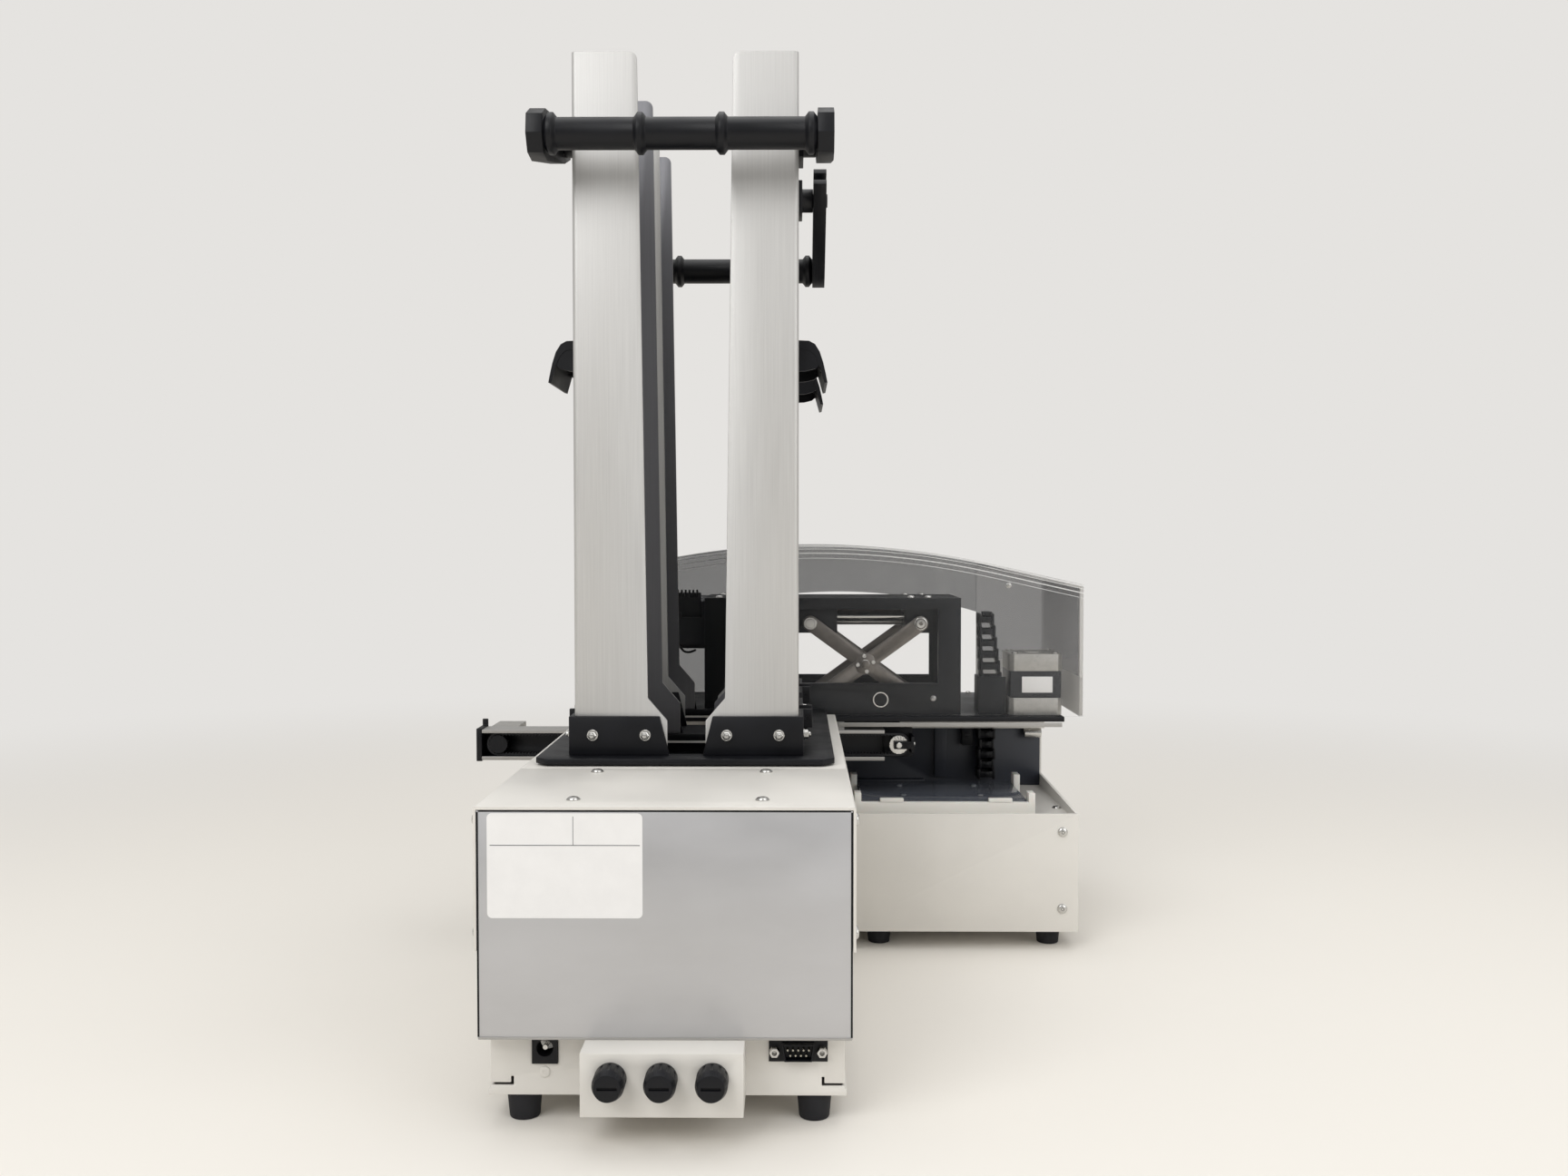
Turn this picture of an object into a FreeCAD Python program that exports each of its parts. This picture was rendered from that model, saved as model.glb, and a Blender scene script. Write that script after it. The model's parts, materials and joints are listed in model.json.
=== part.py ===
import FreeCAD, Part
import math
import os
import types
import Sketcher
from FreeCAD import Placement, Rotation, Vector

# Two-magazine microplate stacker with the plate station docked behind it.
# The formulas below count x from the stacker's centre line, y from the rear panel's face
# and z from the bench. The finished pieces are shifted so that the origin lies at the
# middle of the footprint, on the bench.

SIZES = [
    # the microplate that everything is laid out around
    ("microplate_length", 127.76, "microplate, long side"),
    ("microplate_width", 85.48, "microplate, short side"),
    ("microplate_room", 1.6, "room left round a microplate on each side"),
    # housing of the stacker
    ("panel_width", 194.0, "rear panel, side to side"),
    ("panel_bottom", 49.6, "rear panel, lower edge above the bench"),
    ("panel_top", 168.7, "rear panel, upper edge above the bench"),
    ("panel_sheet", 2.0, "rear panel, sheet thickness"),
    ("cover_width", 197.5, "covers, side to side"),
    ("cover_top", 170.6, "covers, top face above the bench"),
    ("cover_sheet", 1.5, "covers, sheet thickness"),
    ("skirt_bottom", 95.5, "covers, lower edge of the skirts"),
    ("lid_margin", 6.0, "seam of the rear lid, ahead of the magazine plate"),
    ("seam_gap", 0.6, "seam between the rear lid and the main cover"),
    ("housing_depth", 380.0, "back of the housing from the rear panel"),
    ("pan_width", 187.0, "base pan, side to side"),
    ("pan_setback", 14.0, "base pan, set back behind the rear panel"),
    ("pan_sheet", 1.5, "base pan, sheet thickness"),
    ("pan_floor", 18.5, "base pan, top of the floor above the bench"),
    ("flange_width", 189.0, "base pan, floor flange, side to side"),
    ("foot_height", 15.0, "rubber feet, height"),
    ("foot_radius", 9.5, "rubber feet, radius at the top"),
    ("foot_inset", 17.0, "rubber feet, centre in from the flange edge"),
    ("foot_setback", 25.0, "rubber feet, centre behind the rear panel"),
    # rear face fittings
    ("fuse_box_width", 82.5, "fuse box, side to side"),
    ("fuse_box_bottom", 17.0, "fuse box, lower edge above the bench"),
    ("fuse_box_reach", 19.0, "fuse box, front face ahead of the rear panel"),
    ("fuse_pitch", 25.7, "fuse holders, centre to centre"),
    ("fuse_height", 37.0, "fuse holders, centre above the bench"),
    ("fuse_cap_radius", 8.2, "fuse caps, radius"),
    ("fuse_cap_length", 14.0, "fuse caps, length outside the box"),
    ("fuse_body_radius", 5.6, "fuse holders, barrel radius"),
    ("fuse_body_length", 27.0, "fuse holders, barrel length inside"),
    ("inlet_offset", 64.6, "power inlet, left of the centre line"),
    ("inlet_width", 13.7, "power inlet, width"),
    ("inlet_bottom", 32.0, "power inlet, lower edge above the bench"),
    ("inlet_height", 15.0, "power inlet, height"),
    ("serial_offset", 68.9, "serial connector, right of the centre line"),
    ("serial_height", 39.7, "serial connector, centre above the bench"),
    ("serial_pitch", 25.0, "serial connector, between its hex posts"),
    # magazines
    ("deck_plate_width", 182.5, "magazine plate, side to side"),
    ("deck_plate_lead", 65.5, "magazine plate, near edge ahead of the near magazine's centre"),
    ("deck_plate_sheet", 3.6, "magazine plate, thickness"),
    ("deck_plate_lift", 1.2, "magazine plate, pads under it"),
    ("deck_plate_chamfer", 7.0, "magazine plate, cut corners"),
    ("magazine_pitch", 135.5, "magazines, centre to centre"),
    ("far_setback", 53.0, "far magazine, centre ahead of the back of the housing"),
    ("channel_height", 429.6, "magazine channels, height"),
    ("channel_sheet", 2.0, "magazine channels, sheet thickness"),
    ("channel_bend", 3.0, "magazine channels, outside bend radius"),
    ("channel_width", 138.6, "magazine, outside, along the plate's long side"),
    ("channel_depth", 96.0, "magazine, outside, along the plate's short side"),
    ("flange_top", 40.0, "channel flange width at the top"),
    ("flange_low", 45.5, "channel flange width above the foot"),
    ("flange_foot", 57.5, "channel flange width at the foot"),
    ("foot_flare_low", 21.0, "foot flare, lower end above the magazine plate"),
    ("foot_flare_high", 35.0, "foot flare, upper end above the magazine plate"),
    ("bracket_height", 24.0, "foot brackets, height"),
    ("bracket_sheet", 3.0, "foot brackets, thickness"),
    ("bracket_reach", 62.0, "foot brackets, width of the near and far plates"),
    ("bracket_slant", 6.0, "foot brackets, slant of the inner edge"),
    ("bail_pivot", 561.0, "bail pivots above the bench"),
    ("bail_offset", 6.0, "bail pivots, off the magazine's centre towards the grip"),
    ("bail_arm", 71.0, "bail, pivot to grip"),
    ("bail_width", 180.0, "bail, outside, side to side"),
    ("bail_thickness", 9.5, "bail arms, thickness"),
    ("grip_radius", 9.4, "bail grip, radius"),
    ("near_bail_droop", 11.2, "near bail, degrees below level"),
    ("far_bail_droop", 35.0, "far bail, degrees below level"),
    ("cup_bottom", 406.0, "cup handles, lower edge above the bench"),
    ("cup_height", 31.0, "cup handles, height"),
    ("cup_reach", 18.0, "cup handles, reach out of the channel"),
    ("cup_length", 62.0, "cup handles, length"),
    # lifters and cams
    ("cam_axle", 82.0, "cam axles above the bench"),
    ("cam_start", 12.0, "follower centre above the cam axle at rest"),
    ("lift_travel", 46.0, "lifters, full lift"),
    ("cam_turn", 270.0, "cams, degrees for the full lift"),
    ("cam_thickness", 8.0, "cams, thickness"),
    ("follower_radius", 5.0, "cam followers, radius"),
    ("lifter_top", 134.0, "lifters, top face at rest"),
    ("running_gap", 0.3, "gap between faces that move past each other"),
    ("bore_gap", 0.06, "radial running clearance of a shaft in its bore"),
    # plate track
    ("rail_width", 22.0, "track rail, front to back"),
    ("rail_bottom", 134.0, "track rail, lower face above the bench"),
    ("rail_height", 24.0, "track rail, height"),
    ("rail_left", 181.0, "track rail, left end from the centre line"),
    ("rail_right", 137.7, "track rail, right end from the centre line"),
    ("rail_sheet", 2.5, "track rail, wall"),
    ("end_cap", 4.5, "track end cap, thickness"),
    ("pulley_radius", 7.6, "track pulleys, radius at the belt"),
    ("belt_width", 6.0, "track belt, width"),
    ("belt_thickness", 1.4, "track belt, thickness"),
    ("tray_bottom", 137.5, "plate tray, lower face"),
    ("tray_sheet", 4.0, "plate tray, thickness"),
    # plate station
    ("station_left", 101.5, "station front, left end from the centre line"),
    ("station_right", 280.0, "station, right end from the centre line"),
    ("station_overlap", 55.0, "station, front face ahead of the back of the housing"),
    ("station_depth", 235.0, "station, front to back"),
    ("station_rear_left", 57.5, "station behind the stacker, left end from the centre line"),
    ("station_bottom", 13.5, "station, lower face above the bench"),
    ("station_shelf", 97.0, "station, shelf above the bench"),
    ("station_sheet", 2.0, "station, sheet thickness"),
    ("station_lip", 102.6, "station, front lip above the bench"),
    ("station_rim", 107.0, "station, side rim above the bench"),
    ("bay_wall_sheet", 4.0, "bay wall, thickness"),
    ("deck_bottom", 164.6, "station deck, lower face"),
    ("deck_sheet", 4.0, "station deck, thickness"),
    ("deck_right", 280.0, "station deck, right end from the centre line"),
    ("deck_setback", 2.0, "station deck, front edge behind the rail's near face"),
    ("nest_centre", 181.5, "plate nest, centre from the centre line"),
    ("nest_setback", 6.0, "plate nest, centre behind the rail's near face"),
    ("shelf_depth", 159.0, "station shelf, front to back, where the rear housing starts"),
    ("beam_drop", 17.0, "off-white beam under the deck, height"),
    ("beam_depth", 14.0, "off-white beam under the deck, front to back"),
    # scissor lift
    ("frame_left", 5.5, "lift frame, outside of the left plate, left of the centre line"),
    ("frame_right", 199.5, "lift frame, outside of the right plate"),
    ("frame_setback", 15.0, "lift frame, near face behind the rail's near face"),
    ("frame_depth", 80.0, "lift frame, front to back"),
    ("frame_top", 262.0, "lift frame, top above the bench"),
    ("frame_sheet", 9.0, "lift frame, beam thickness"),
    ("arm_length", 110.0, "scissor arms, pivot to pivot"),
    ("arm_width", 12.0, "scissor arms, width"),
    ("arm_sheet", 3.0, "scissor arms, thickness"),
    ("arm_angle", 36.0, "scissor arms, degrees from level at rest"),
    ("scissor_pivot_x", 168.2, "fixed upper pivot from the centre line"),
    ("scissor_pivot_z", 241.0, "fixed upper pivot above the bench"),
    ("pivot_radius", 3.0, "scissor pivots, radius"),
    ("screw_radius", 3.0, "lead screw, radius"),
    ("guide_rod_radius", 3.0, "guide rods, radius"),
    # covers of the station
    ("dome_left", 52.5, "clear cover, left end, left of the centre line"),
    ("dome_right", 295.0, "clear cover, right end from the centre line"),
    ("dome_setback", 4.0, "clear cover, near face behind the rail's near face"),
    ("dome_sheet", 2.5, "clear cover, sheet thickness"),
    ("dome_shoulder", 290.0, "clear cover, height at its left shoulder"),
    ("dome_crown", 304.7, "clear cover, height at its crown"),
    ("dome_crown_x", 82.5, "clear cover, crown from the centre line"),
    ("dome_end_top", 273.0, "clear cover, height at its right shoulder"),
    ("dome_step_x", 233.0, "clear cover, where the end cap starts"),
    ("dome_step", 286.9, "clear cover, height where the end cap starts"),
    ("dome_depth", 96.0, "clear cover, front to back, where the smoke hood starts"),
]

document = FreeCAD.newDocument("PlateStacker")
sheet = document.addObject("Spreadsheet::Sheet", "Sizes")
for row, (word, number, meaning) in enumerate(SIZES, start=1):
    sheet.set("A%d" % row, meaning)
    sheet.set("B%d" % row, str(number))
    sheet.setAlias("B%d" % row, word)
document.recompute()


class Size:
    """A number together with the formula that leads to it from the sheet."""

    def __init__(self, value, formula):
        self.value = value
        self.formula = formula

    def __add__(self, other):
        other = as_size(other)
        return Size(self.value + other.value, "(%s + %s)" % (self.formula, other.formula))

    def __radd__(self, other):
        return as_size(other) + self

    def __sub__(self, other):
        other = as_size(other)
        return Size(self.value - other.value, "(%s - %s)" % (self.formula, other.formula))

    def __rsub__(self, other):
        return as_size(other) - self

    def __mul__(self, other):
        other = as_size(other)
        return Size(self.value * other.value, "(%s * %s)" % (self.formula, other.formula))

    def __rmul__(self, other):
        return as_size(other) * self

    def __truediv__(self, other):
        other = as_size(other)
        return Size(self.value / other.value, "(%s / %s)" % (self.formula, other.formula))

    def __neg__(self):
        return Size(-self.value, "(0 - %s)" % self.formula)

    def __float__(self):
        return float(self.value)


def as_size(number):
    """Take a plain number as a size too."""
    return number if isinstance(number, Size) else Size(float(number), repr(float(number)))


def cosine(degrees):
    degrees = as_size(degrees)
    return Size(math.cos(math.radians(degrees.value)), "cos(%s * 1 deg)" % degrees.formula)


def sine(degrees):
    degrees = as_size(degrees)
    return Size(math.sin(math.radians(degrees.value)), "sin(%s * 1 deg)" % degrees.formula)


d = types.SimpleNamespace(**{
    word: Size(float(sheet.get(word)), "Sizes.%s" % word) for word, _, _ in SIZES
})

# Depths from the rear panel, each from the pieces that stand there
far_centre = d.housing_depth - d.far_setback
near_centre = far_centre - d.magazine_pitch
deck_plate_front = near_centre - d.deck_plate_lead
rear_lid_depth = deck_plate_front - d.lid_margin
rail_near = d.housing_depth
deck_front = rail_near + d.deck_setback
dome_near = rail_near + d.dome_setback
hood_near = dome_near + d.dome_depth
nest_middle = rail_near + d.nest_setback
frame_front = rail_near + d.frame_setback
station_front = rail_near - d.station_overlap
station_back = station_front + d.station_depth
shelf_back = station_front + d.shelf_depth
bay_wall_front = shelf_back - d.bay_wall_sheet

# footprint of the whole part, which the origin is centred in
fuse_cap_front = -d.fuse_box_reach - d.fuse_cap_length
track_left = -d.rail_left - d.end_cap
middle_x = (track_left + d.dome_right) / 2
middle_y = (fuse_cap_front + station_back) / 2

nodes = []


def shift(x, y, z):
    """From the layout's own datum to the part's origin."""
    return as_size(x) - middle_x, as_size(y) - middle_y, as_size(z)


def put(item, x, y, z, rotation=None):
    """Place an item by formulas."""
    if rotation is not None:
        item.Placement = Placement(Vector(0, 0, 0), rotation)
    for axis, amount in zip("xyz", shift(x, y, z)):
        item.setExpression("Placement.Base." + axis, amount.formula)
    return item


def bind(item, prop, amount):
    item.setExpression(prop, as_size(amount).formula)


def node(item, label):
    """Name a finished sub-part. Its label names its file."""
    item.Label = label
    nodes.append(item)
    return item


def block(x, y, z, label="block"):
    """A rectangular solid between three pairs of faces."""
    box = document.addObject("Part::Box", label)
    for prop, (low, high) in zip(("Length", "Width", "Height"), (x, y, z)):
        bind(box, prop, as_size(high) - low)
    return put(box, x[0], y[0], z[0])


TURN_TO = {
    "X": Rotation(Vector(0, 1, 0), 90),
    "Y": Rotation(Vector(1, 0, 0), -90),
    "Z": Rotation(),
}


def rod(axis, x, y, z, radius, length, label="rod"):
    """A round bar that starts at a point and runs along +X, +Y or +Z."""
    bar = document.addObject("Part::Cylinder", label)
    bind(bar, "Radius", radius)
    bind(bar, "Height", length)
    return put(bar, x, y, z, TURN_TO[axis])


def cone(axis, x, y, z, first, second, length, label="cone"):
    """A tapered round bar, from its first radius to its second."""
    bar = document.addObject("Part::Cone", label)
    bind(bar, "Radius1", first)
    bind(bar, "Radius2", second)
    bind(bar, "Height", length)
    return put(bar, x, y, z, TURN_TO[axis])


def join(*pieces, label="join"):
    fused = document.addObject("Part::MultiFuse", label)
    fused.Shapes = list(pieces)
    fused.Refine = True
    return fused


def cut(base, *tools, label="cut"):
    """Take one or more tools away from a solid."""
    tool = tools[0] if len(tools) == 1 else join(*tools, label=label + "_tools")
    rest = document.addObject("Part::Cut", label)
    rest.Base = base
    rest.Tool = tool
    rest.Refine = True
    return rest


def group(*pieces, label="group"):
    """Separate solids that share one node."""
    several = document.addObject("Part::Compound", label)
    several.Links = list(pieces)
    return several


def new_body(label, x=0, y=0, z=0):
    return put(document.addObject("PartDesign::Body", label), x, y, z)


def sketch(body, plane, points):
    """A closed outline on one of the body's own planes, each corner held by two sizes."""
    outline = body.newObject("Sketcher::SketchObject", "outline")
    role = [item for item in body.Origin.OriginFeatures if item.Role == plane + "_Plane"][0]
    outline.AttachmentSupport = [(role, "")]
    outline.MapMode = "FlatFace"
    corners = [(as_size(across), as_size(up)) for across, up in points]
    count = len(corners)
    for index in range(count):
        start = Vector(float(corners[index][0]), float(corners[index][1]), 0)
        after = corners[(index + 1) % count]
        outline.addGeometry(Part.LineSegment(start, Vector(float(after[0]), float(after[1]), 0)), False)
    for index in range(count):
        outline.addConstraint(Sketcher.Constraint("Coincident", index, 2, (index + 1) % count, 1))
    for index, corner in enumerate(corners):
        for kind, amount in zip(("DistanceX", "DistanceY"), corner):
            number = outline.addConstraint(Sketcher.Constraint(kind, -1, 1, index, 1, float(amount)))
            outline.setExpression("Constraints[%d]" % number, amount.formula)
    return outline


def pad(body, plane, points, length, both_ways=False):
    feature = body.newObject("PartDesign::Pad", "pad")
    feature.Profile = sketch(body, plane, points)
    bind(feature, "Length", length)
    feature.Midplane = both_ways
    body.Tip = feature
    return feature


def pocket(body, plane, points, length):
    """Cut an outline out of the body, equally to both sides of its plane."""
    feature = body.newObject("PartDesign::Pocket", "pocket")
    feature.Profile = sketch(body, plane, points)
    bind(feature, "Length", length)
    feature.Midplane = True
    body.Tip = feature
    return feature


def round_edges(body, radius, wanted):
    """Round the edges of the body's tip whose midpoint and direction are wanted."""
    document.recompute()
    names = []
    for index, edge in enumerate(body.Tip.Shape.Edges, start=1):
        middle = edge.valueAt((edge.FirstParameter + edge.LastParameter) / 2)
        along = edge.tangentAt((edge.FirstParameter + edge.LastParameter) / 2)
        if wanted(middle, along):
            names.append("Edge%d" % index)
    if not names:
        raise RuntimeError("no edge to round on %s" % body.Label)
    base = body.Tip
    feature = body.newObject("PartDesign::Fillet", "rounding")
    feature.Base = (base, names)
    bind(feature, "Radius", radius)
    body.Tip = feature
    return feature


def prism(plane, points, start, end, label="prism"):
    """An outline in x and z, y and z, or x and y, carried from one station to another."""
    length = as_size(end) - start
    if plane == "XZ":
        body = new_body(label, 0, end, 0)
    elif plane == "YZ":
        body = new_body(label, start, 0, 0)
    else:
        body = new_body(label, 0, 0, start)
    pad(body, plane, points, length)
    return body


def made(label, shape):
    """A sub-part whose shape is worked out directly, in the layout's own datum."""
    feature = document.addObject("Part::Feature", label)
    feature.Shape = shape
    return put(feature, 0, 0, 0)


# Housing of the stacker

half_pan = d.pan_width / 2
half_cover = d.cover_width / 2
cover_under = d.cover_top - d.cover_sheet
plate_room_x = d.microplate_length / 2 + d.microplate_room
plate_room_y = d.microplate_width / 2 + d.microplate_room
tunnel_near = near_centre - plate_room_y - 5.0
tunnel_low = d.tray_bottom - 6.0
tunnel_high = cover_under - 7.0


def base_pan():
    """Open tray of folded sheet that everything in the stacker stands on."""
    floor = block((-d.flange_width / 2, d.flange_width / 2), (d.pan_setback, d.housing_depth),
                  (d.foot_height, d.pan_floor), "pan_floor_sheet")
    outside = block((-half_pan, half_pan), (d.pan_setback, d.housing_depth),
                    (d.pan_floor, cover_under), "pan_outside")
    inside = block((-half_pan + d.pan_sheet, half_pan - d.pan_sheet),
                   (d.pan_setback + d.pan_sheet, d.housing_depth - d.pan_sheet),
                   (d.pan_floor, cover_under + 1.0), "pan_inside")
    tunnel = block((-half_pan - 5.0, half_pan + 5.0), (tunnel_near, d.housing_depth - d.pan_sheet),
                   (tunnel_low, tunnel_high), "pan_tunnel")
    back_open = block((-half_pan + 14.0, half_pan + 1.0), (d.housing_depth - 5.0, d.housing_depth + 1.0),
                      (tunnel_low, cover_under + 1.0), "pan_back_opening")
    inlet = block((-d.inlet_offset - d.inlet_width / 2, -d.inlet_offset + d.inlet_width / 2),
                  (d.pan_setback - 1.0, d.pan_setback + 5.0),
                  (d.inlet_bottom, d.inlet_bottom + d.inlet_height), "inlet_cutout")
    serial = block((d.serial_offset - 9.5, d.serial_offset + 9.5),
                   (d.pan_setback - 1.0, d.pan_setback + 5.0),
                   (d.serial_height - 5.5, d.serial_height + 5.5), "serial_cutout")
    holders = [
        rod("Y", d.fuse_pitch * place, d.pan_setback - 1.0, d.fuse_height,
            d.fuse_body_radius + d.bore_gap, 6.0, "fuse_cutout")
        for place in (-1, 0, 1)
    ]
    slits = []
    for side in (-1, 1):
        outer = side * half_pan
        inner = side * (half_pan - 11.5)
        low, high = (outer, inner) if side < 0 else (inner, outer)
        slits.append(block((low, high), (d.pan_setback - 1.0, d.pan_setback + 5.0),
                           (d.pan_floor + 1.7, d.pan_floor + 3.1), "corner_slit"))
        slits.append(block((inner - 0.7, inner + 0.7), (d.pan_setback - 1.0, d.pan_setback + 5.0),
                           (d.pan_floor + 1.7, d.pan_floor + 6.5), "corner_slit"))
    walls = cut(outside, inside, tunnel, back_open, inlet, serial, *holders, *slits, label="pan_walls")
    return node(join(floor, walls), "base_pan")


def cover_shell(label, front, back):
    """Inverted channel with a top and two skirts."""
    outline = [
        (-half_cover, d.skirt_bottom), (-half_cover, d.cover_top), (half_cover, d.cover_top),
        (half_cover, d.skirt_bottom), (half_cover - d.cover_sheet, d.skirt_bottom),
        (half_cover - d.cover_sheet, cover_under), (-half_cover + d.cover_sheet, cover_under),
        (-half_cover + d.cover_sheet, d.skirt_bottom),
    ]
    body = prism("XZ", outline, front, back, label)
    round_edges(body, 1.2, lambda middle, along: abs(along.y) > 0.9
                and middle.z > float(d.cover_top) - 0.01)
    return body


screw_columns = (-50.0, 50.0)
screw_rows = (20.0, rear_lid_depth - 12.0)


def rear_lid():
    shell = cover_shell("lid_shell", 0.0, rear_lid_depth - d.seam_gap)
    holes = [
        rod("Z", column, row, cover_under - 1.0, 1.6, 5.0, "lid_hole")
        for column in screw_columns for row in screw_rows
    ]
    return node(cut(shell, *holes), "rear_lid")


def main_cover():
    shell = cover_shell("cover_shell", rear_lid_depth, d.housing_depth)
    windows = [
        block((-plate_room_x, plate_room_x), (centre - plate_room_y, centre + plate_room_y),
              (cover_under - 5.0, d.cover_top + 5.0), "plate_window")
        for centre in (near_centre, far_centre)
    ]
    tunnel = block((-half_cover - 5.0, half_cover + 5.0), (tunnel_near, d.housing_depth + 1.0),
                   (tunnel_low, tunnel_high), "cover_tunnel")
    return node(cut(shell, *windows, tunnel), "main_cover")


def rear_panel():
    """Satin plate with a return along its lower edge and two narrow side returns."""
    half = d.panel_width / 2
    face = block((-half, half), (0.0, d.panel_sheet), (d.panel_bottom, d.panel_top), "panel_face")
    lower = block((-half, half), (d.panel_sheet, d.pan_setback),
                  (d.panel_bottom, d.panel_bottom + d.panel_sheet), "panel_return")
    sides = [
        block((side - d.panel_sheet / 2, side + d.panel_sheet / 2), (d.panel_sheet, d.pan_setback),
              (d.panel_bottom, d.panel_top), "panel_side")
        for side in (-half + d.panel_sheet / 2, half - d.panel_sheet / 2)
    ]
    return node(join(face, lower, *sides), "rear_panel")


def fuse_box():
    """Shallow folded box round the fuse holders, open at its back."""
    half = d.fuse_box_width / 2
    outside = block((-half, half), (-d.fuse_box_reach, d.pan_setback),
                    (d.fuse_box_bottom, d.panel_bottom), "fuse_box_outside")
    inside = block((-half + d.pan_sheet, half - d.pan_sheet),
                   (-d.fuse_box_reach + d.pan_sheet, d.pan_setback + 1.0),
                   (d.fuse_box_bottom + d.pan_sheet, d.panel_bottom - d.pan_sheet), "fuse_box_inside")
    flange_slot = block((-half - 1.0, half + 1.0), (d.pan_setback - 0.4, d.pan_setback + 1.0),
                        (d.fuse_box_bottom - 1.0, d.pan_floor), "fuse_box_slot")
    holes = [
        rod("Y", d.fuse_pitch * place, -d.fuse_box_reach - 1.0, d.fuse_height,
            d.fuse_body_radius + d.bore_gap, 5.0, "fuse_hole")
        for place in (-1, 0, 1)
    ]
    return node(cut(outside, inside, flange_slot, *holes), "fuse_box")


def fuse_holders():
    """Barrels of the three fuse holders, each with its collar inside the box."""
    start = -d.fuse_box_reach
    pieces = []
    for place in (-1, 0, 1):
        across = d.fuse_pitch * place
        barrel = rod("Y", across, start, d.fuse_height, d.fuse_body_radius, d.fuse_body_length + 8.0,
                     "fuse_barrel")
        collar = rod("Y", across, start + d.pan_sheet, d.fuse_height, 8.0, 3.0, "fuse_collar")
        bore = rod("Y", across, start - 1.0, d.fuse_height, 3.6, 18.0, "fuse_bore")
        tab = block((across - 1.6, across + 1.6),
                    (start + d.fuse_body_length + 8.0, start + d.fuse_body_length + 15.0),
                    (d.fuse_height - 0.4, d.fuse_height + 0.4), "fuse_tab")
        pieces.append(join(cut(join(barrel, collar), bore), tab))
    return node(group(*pieces), "fuse_holders")


def fuse_cap(place):
    """Bayonet cap with a fluted rim, a driver slot and a stem that holds the fuse."""
    across = d.fuse_pitch * place
    back = -d.fuse_box_reach - d.running_gap
    front = fuse_cap_front
    skirt = rod("Y", across, front + 4.0, d.fuse_height, d.fuse_cap_radius, back - front - 4.0, "cap_skirt")
    nose = cone("Y", across, front, d.fuse_height, d.fuse_cap_radius - 1.4, d.fuse_cap_radius, 4.0, "cap_nose")
    stem = rod("Y", across, back, d.fuse_height, 3.0, 14.0, "cap_stem")
    slot = block((across - 5.0, across + 5.0), (front - 1.0, front + 1.6),
                 (d.fuse_height - 0.8, d.fuse_height + 0.8), "cap_slot")
    flutes = []
    for step in range(12):
        turn = 30.0 * step
        reach = d.fuse_cap_radius + 0.7
        flutes.append(rod("Y", across + reach * cosine(turn), front + 4.5,
                          d.fuse_height + reach * sine(turn), 1.1, back - front - 6.5, "cap_flute"))
    return node(cut(join(skirt, nose, stem), slot, *flutes), "fuse_cap_%d" % (place + 2))


def power_inlet():
    """Low-voltage inlet: a moulded body behind the pan with a round socket and a centre pin."""
    left = -d.inlet_offset - d.inlet_width / 2
    right = -d.inlet_offset + d.inlet_width / 2
    face = d.pan_setback - 1.2
    body = block((left, right), (face, d.pan_setback + 18.0),
                 (d.inlet_bottom, d.inlet_bottom + d.inlet_height), "inlet_body")
    middle = d.inlet_bottom + d.inlet_height / 2 + 0.8
    socket = rod("Y", -d.inlet_offset, face - 1.0, middle, 4.4, 13.0, "inlet_socket")
    pin = rod("Y", -d.inlet_offset, face + 1.5, middle, 1.25, 12.0, "inlet_pin")
    return node(join(cut(body, socket), pin), "power_inlet")


def serial_connector():
    """Nine-pin plug: a flanged D-shell, its insulator, nine pins and two hex posts."""
    face = d.pan_setback
    flange = block((d.serial_offset - 15.5, d.serial_offset + 15.5), (face - 0.8, face),
                   (d.serial_height - 6.2, d.serial_height + 6.2), "serial_flange")
    rim_points = [(-8.5, 4.5), (8.5, 4.5), (7.2, -4.5), (-7.2, -4.5)]
    throat_points = [(-7.8, 3.8), (7.8, 3.8), (6.6, -3.8), (-6.6, -3.8)]
    rim = prism("XZ", [(d.serial_offset + x, d.serial_height + z) for x, z in rim_points],
                face - 6.0, face - 0.8, "serial_rim")
    throat = prism("XZ", [(d.serial_offset + x, d.serial_height + z) for x, z in throat_points],
                   face - 7.0, face - 1.0, "serial_throat")
    back = block((d.serial_offset - 9.2, d.serial_offset + 9.2), (face, face + 10.0),
                 (d.serial_height - 5.2, d.serial_height + 5.2), "serial_back")
    pins = []
    for row_height, first, number in ((1.42, -5.54, 5), (-1.42, -4.155, 4)):
        for index in range(number):
            pins.append(rod("Y", d.serial_offset + first + 2.77 * index, face - 5.4,
                            d.serial_height + row_height, 0.5, 5.6, "serial_pin"))
    posts = []
    for side in (-1, 1):
        post = document.addObject("Part::Prism", "hex_post")
        post.Polygon = 6
        post.Circumradius = 2.7
        post.Height = 5.0
        put(post, d.serial_offset + side * d.serial_pitch / 2, face - 5.8, d.serial_height, TURN_TO["Y"])
        hole = rod("Y", d.serial_offset + side * d.serial_pitch / 2, face - 6.0, d.serial_height, 1.3, 4.0,
                   "post_hole")
        posts.append(cut(post, hole))
    return node(join(flange, cut(rim, throat), back, *pins, *posts), "serial_connector")


foot_x = d.flange_width / 2 - d.foot_inset
station_feet = (
    (d.station_left + 30.0, station_front + 22.0), (d.station_right - 19.0, station_front + 22.0),
    (d.station_right - 19.0, station_back - 22.0), (-d.station_rear_left + 22.0, station_back - 22.0),
)


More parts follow.
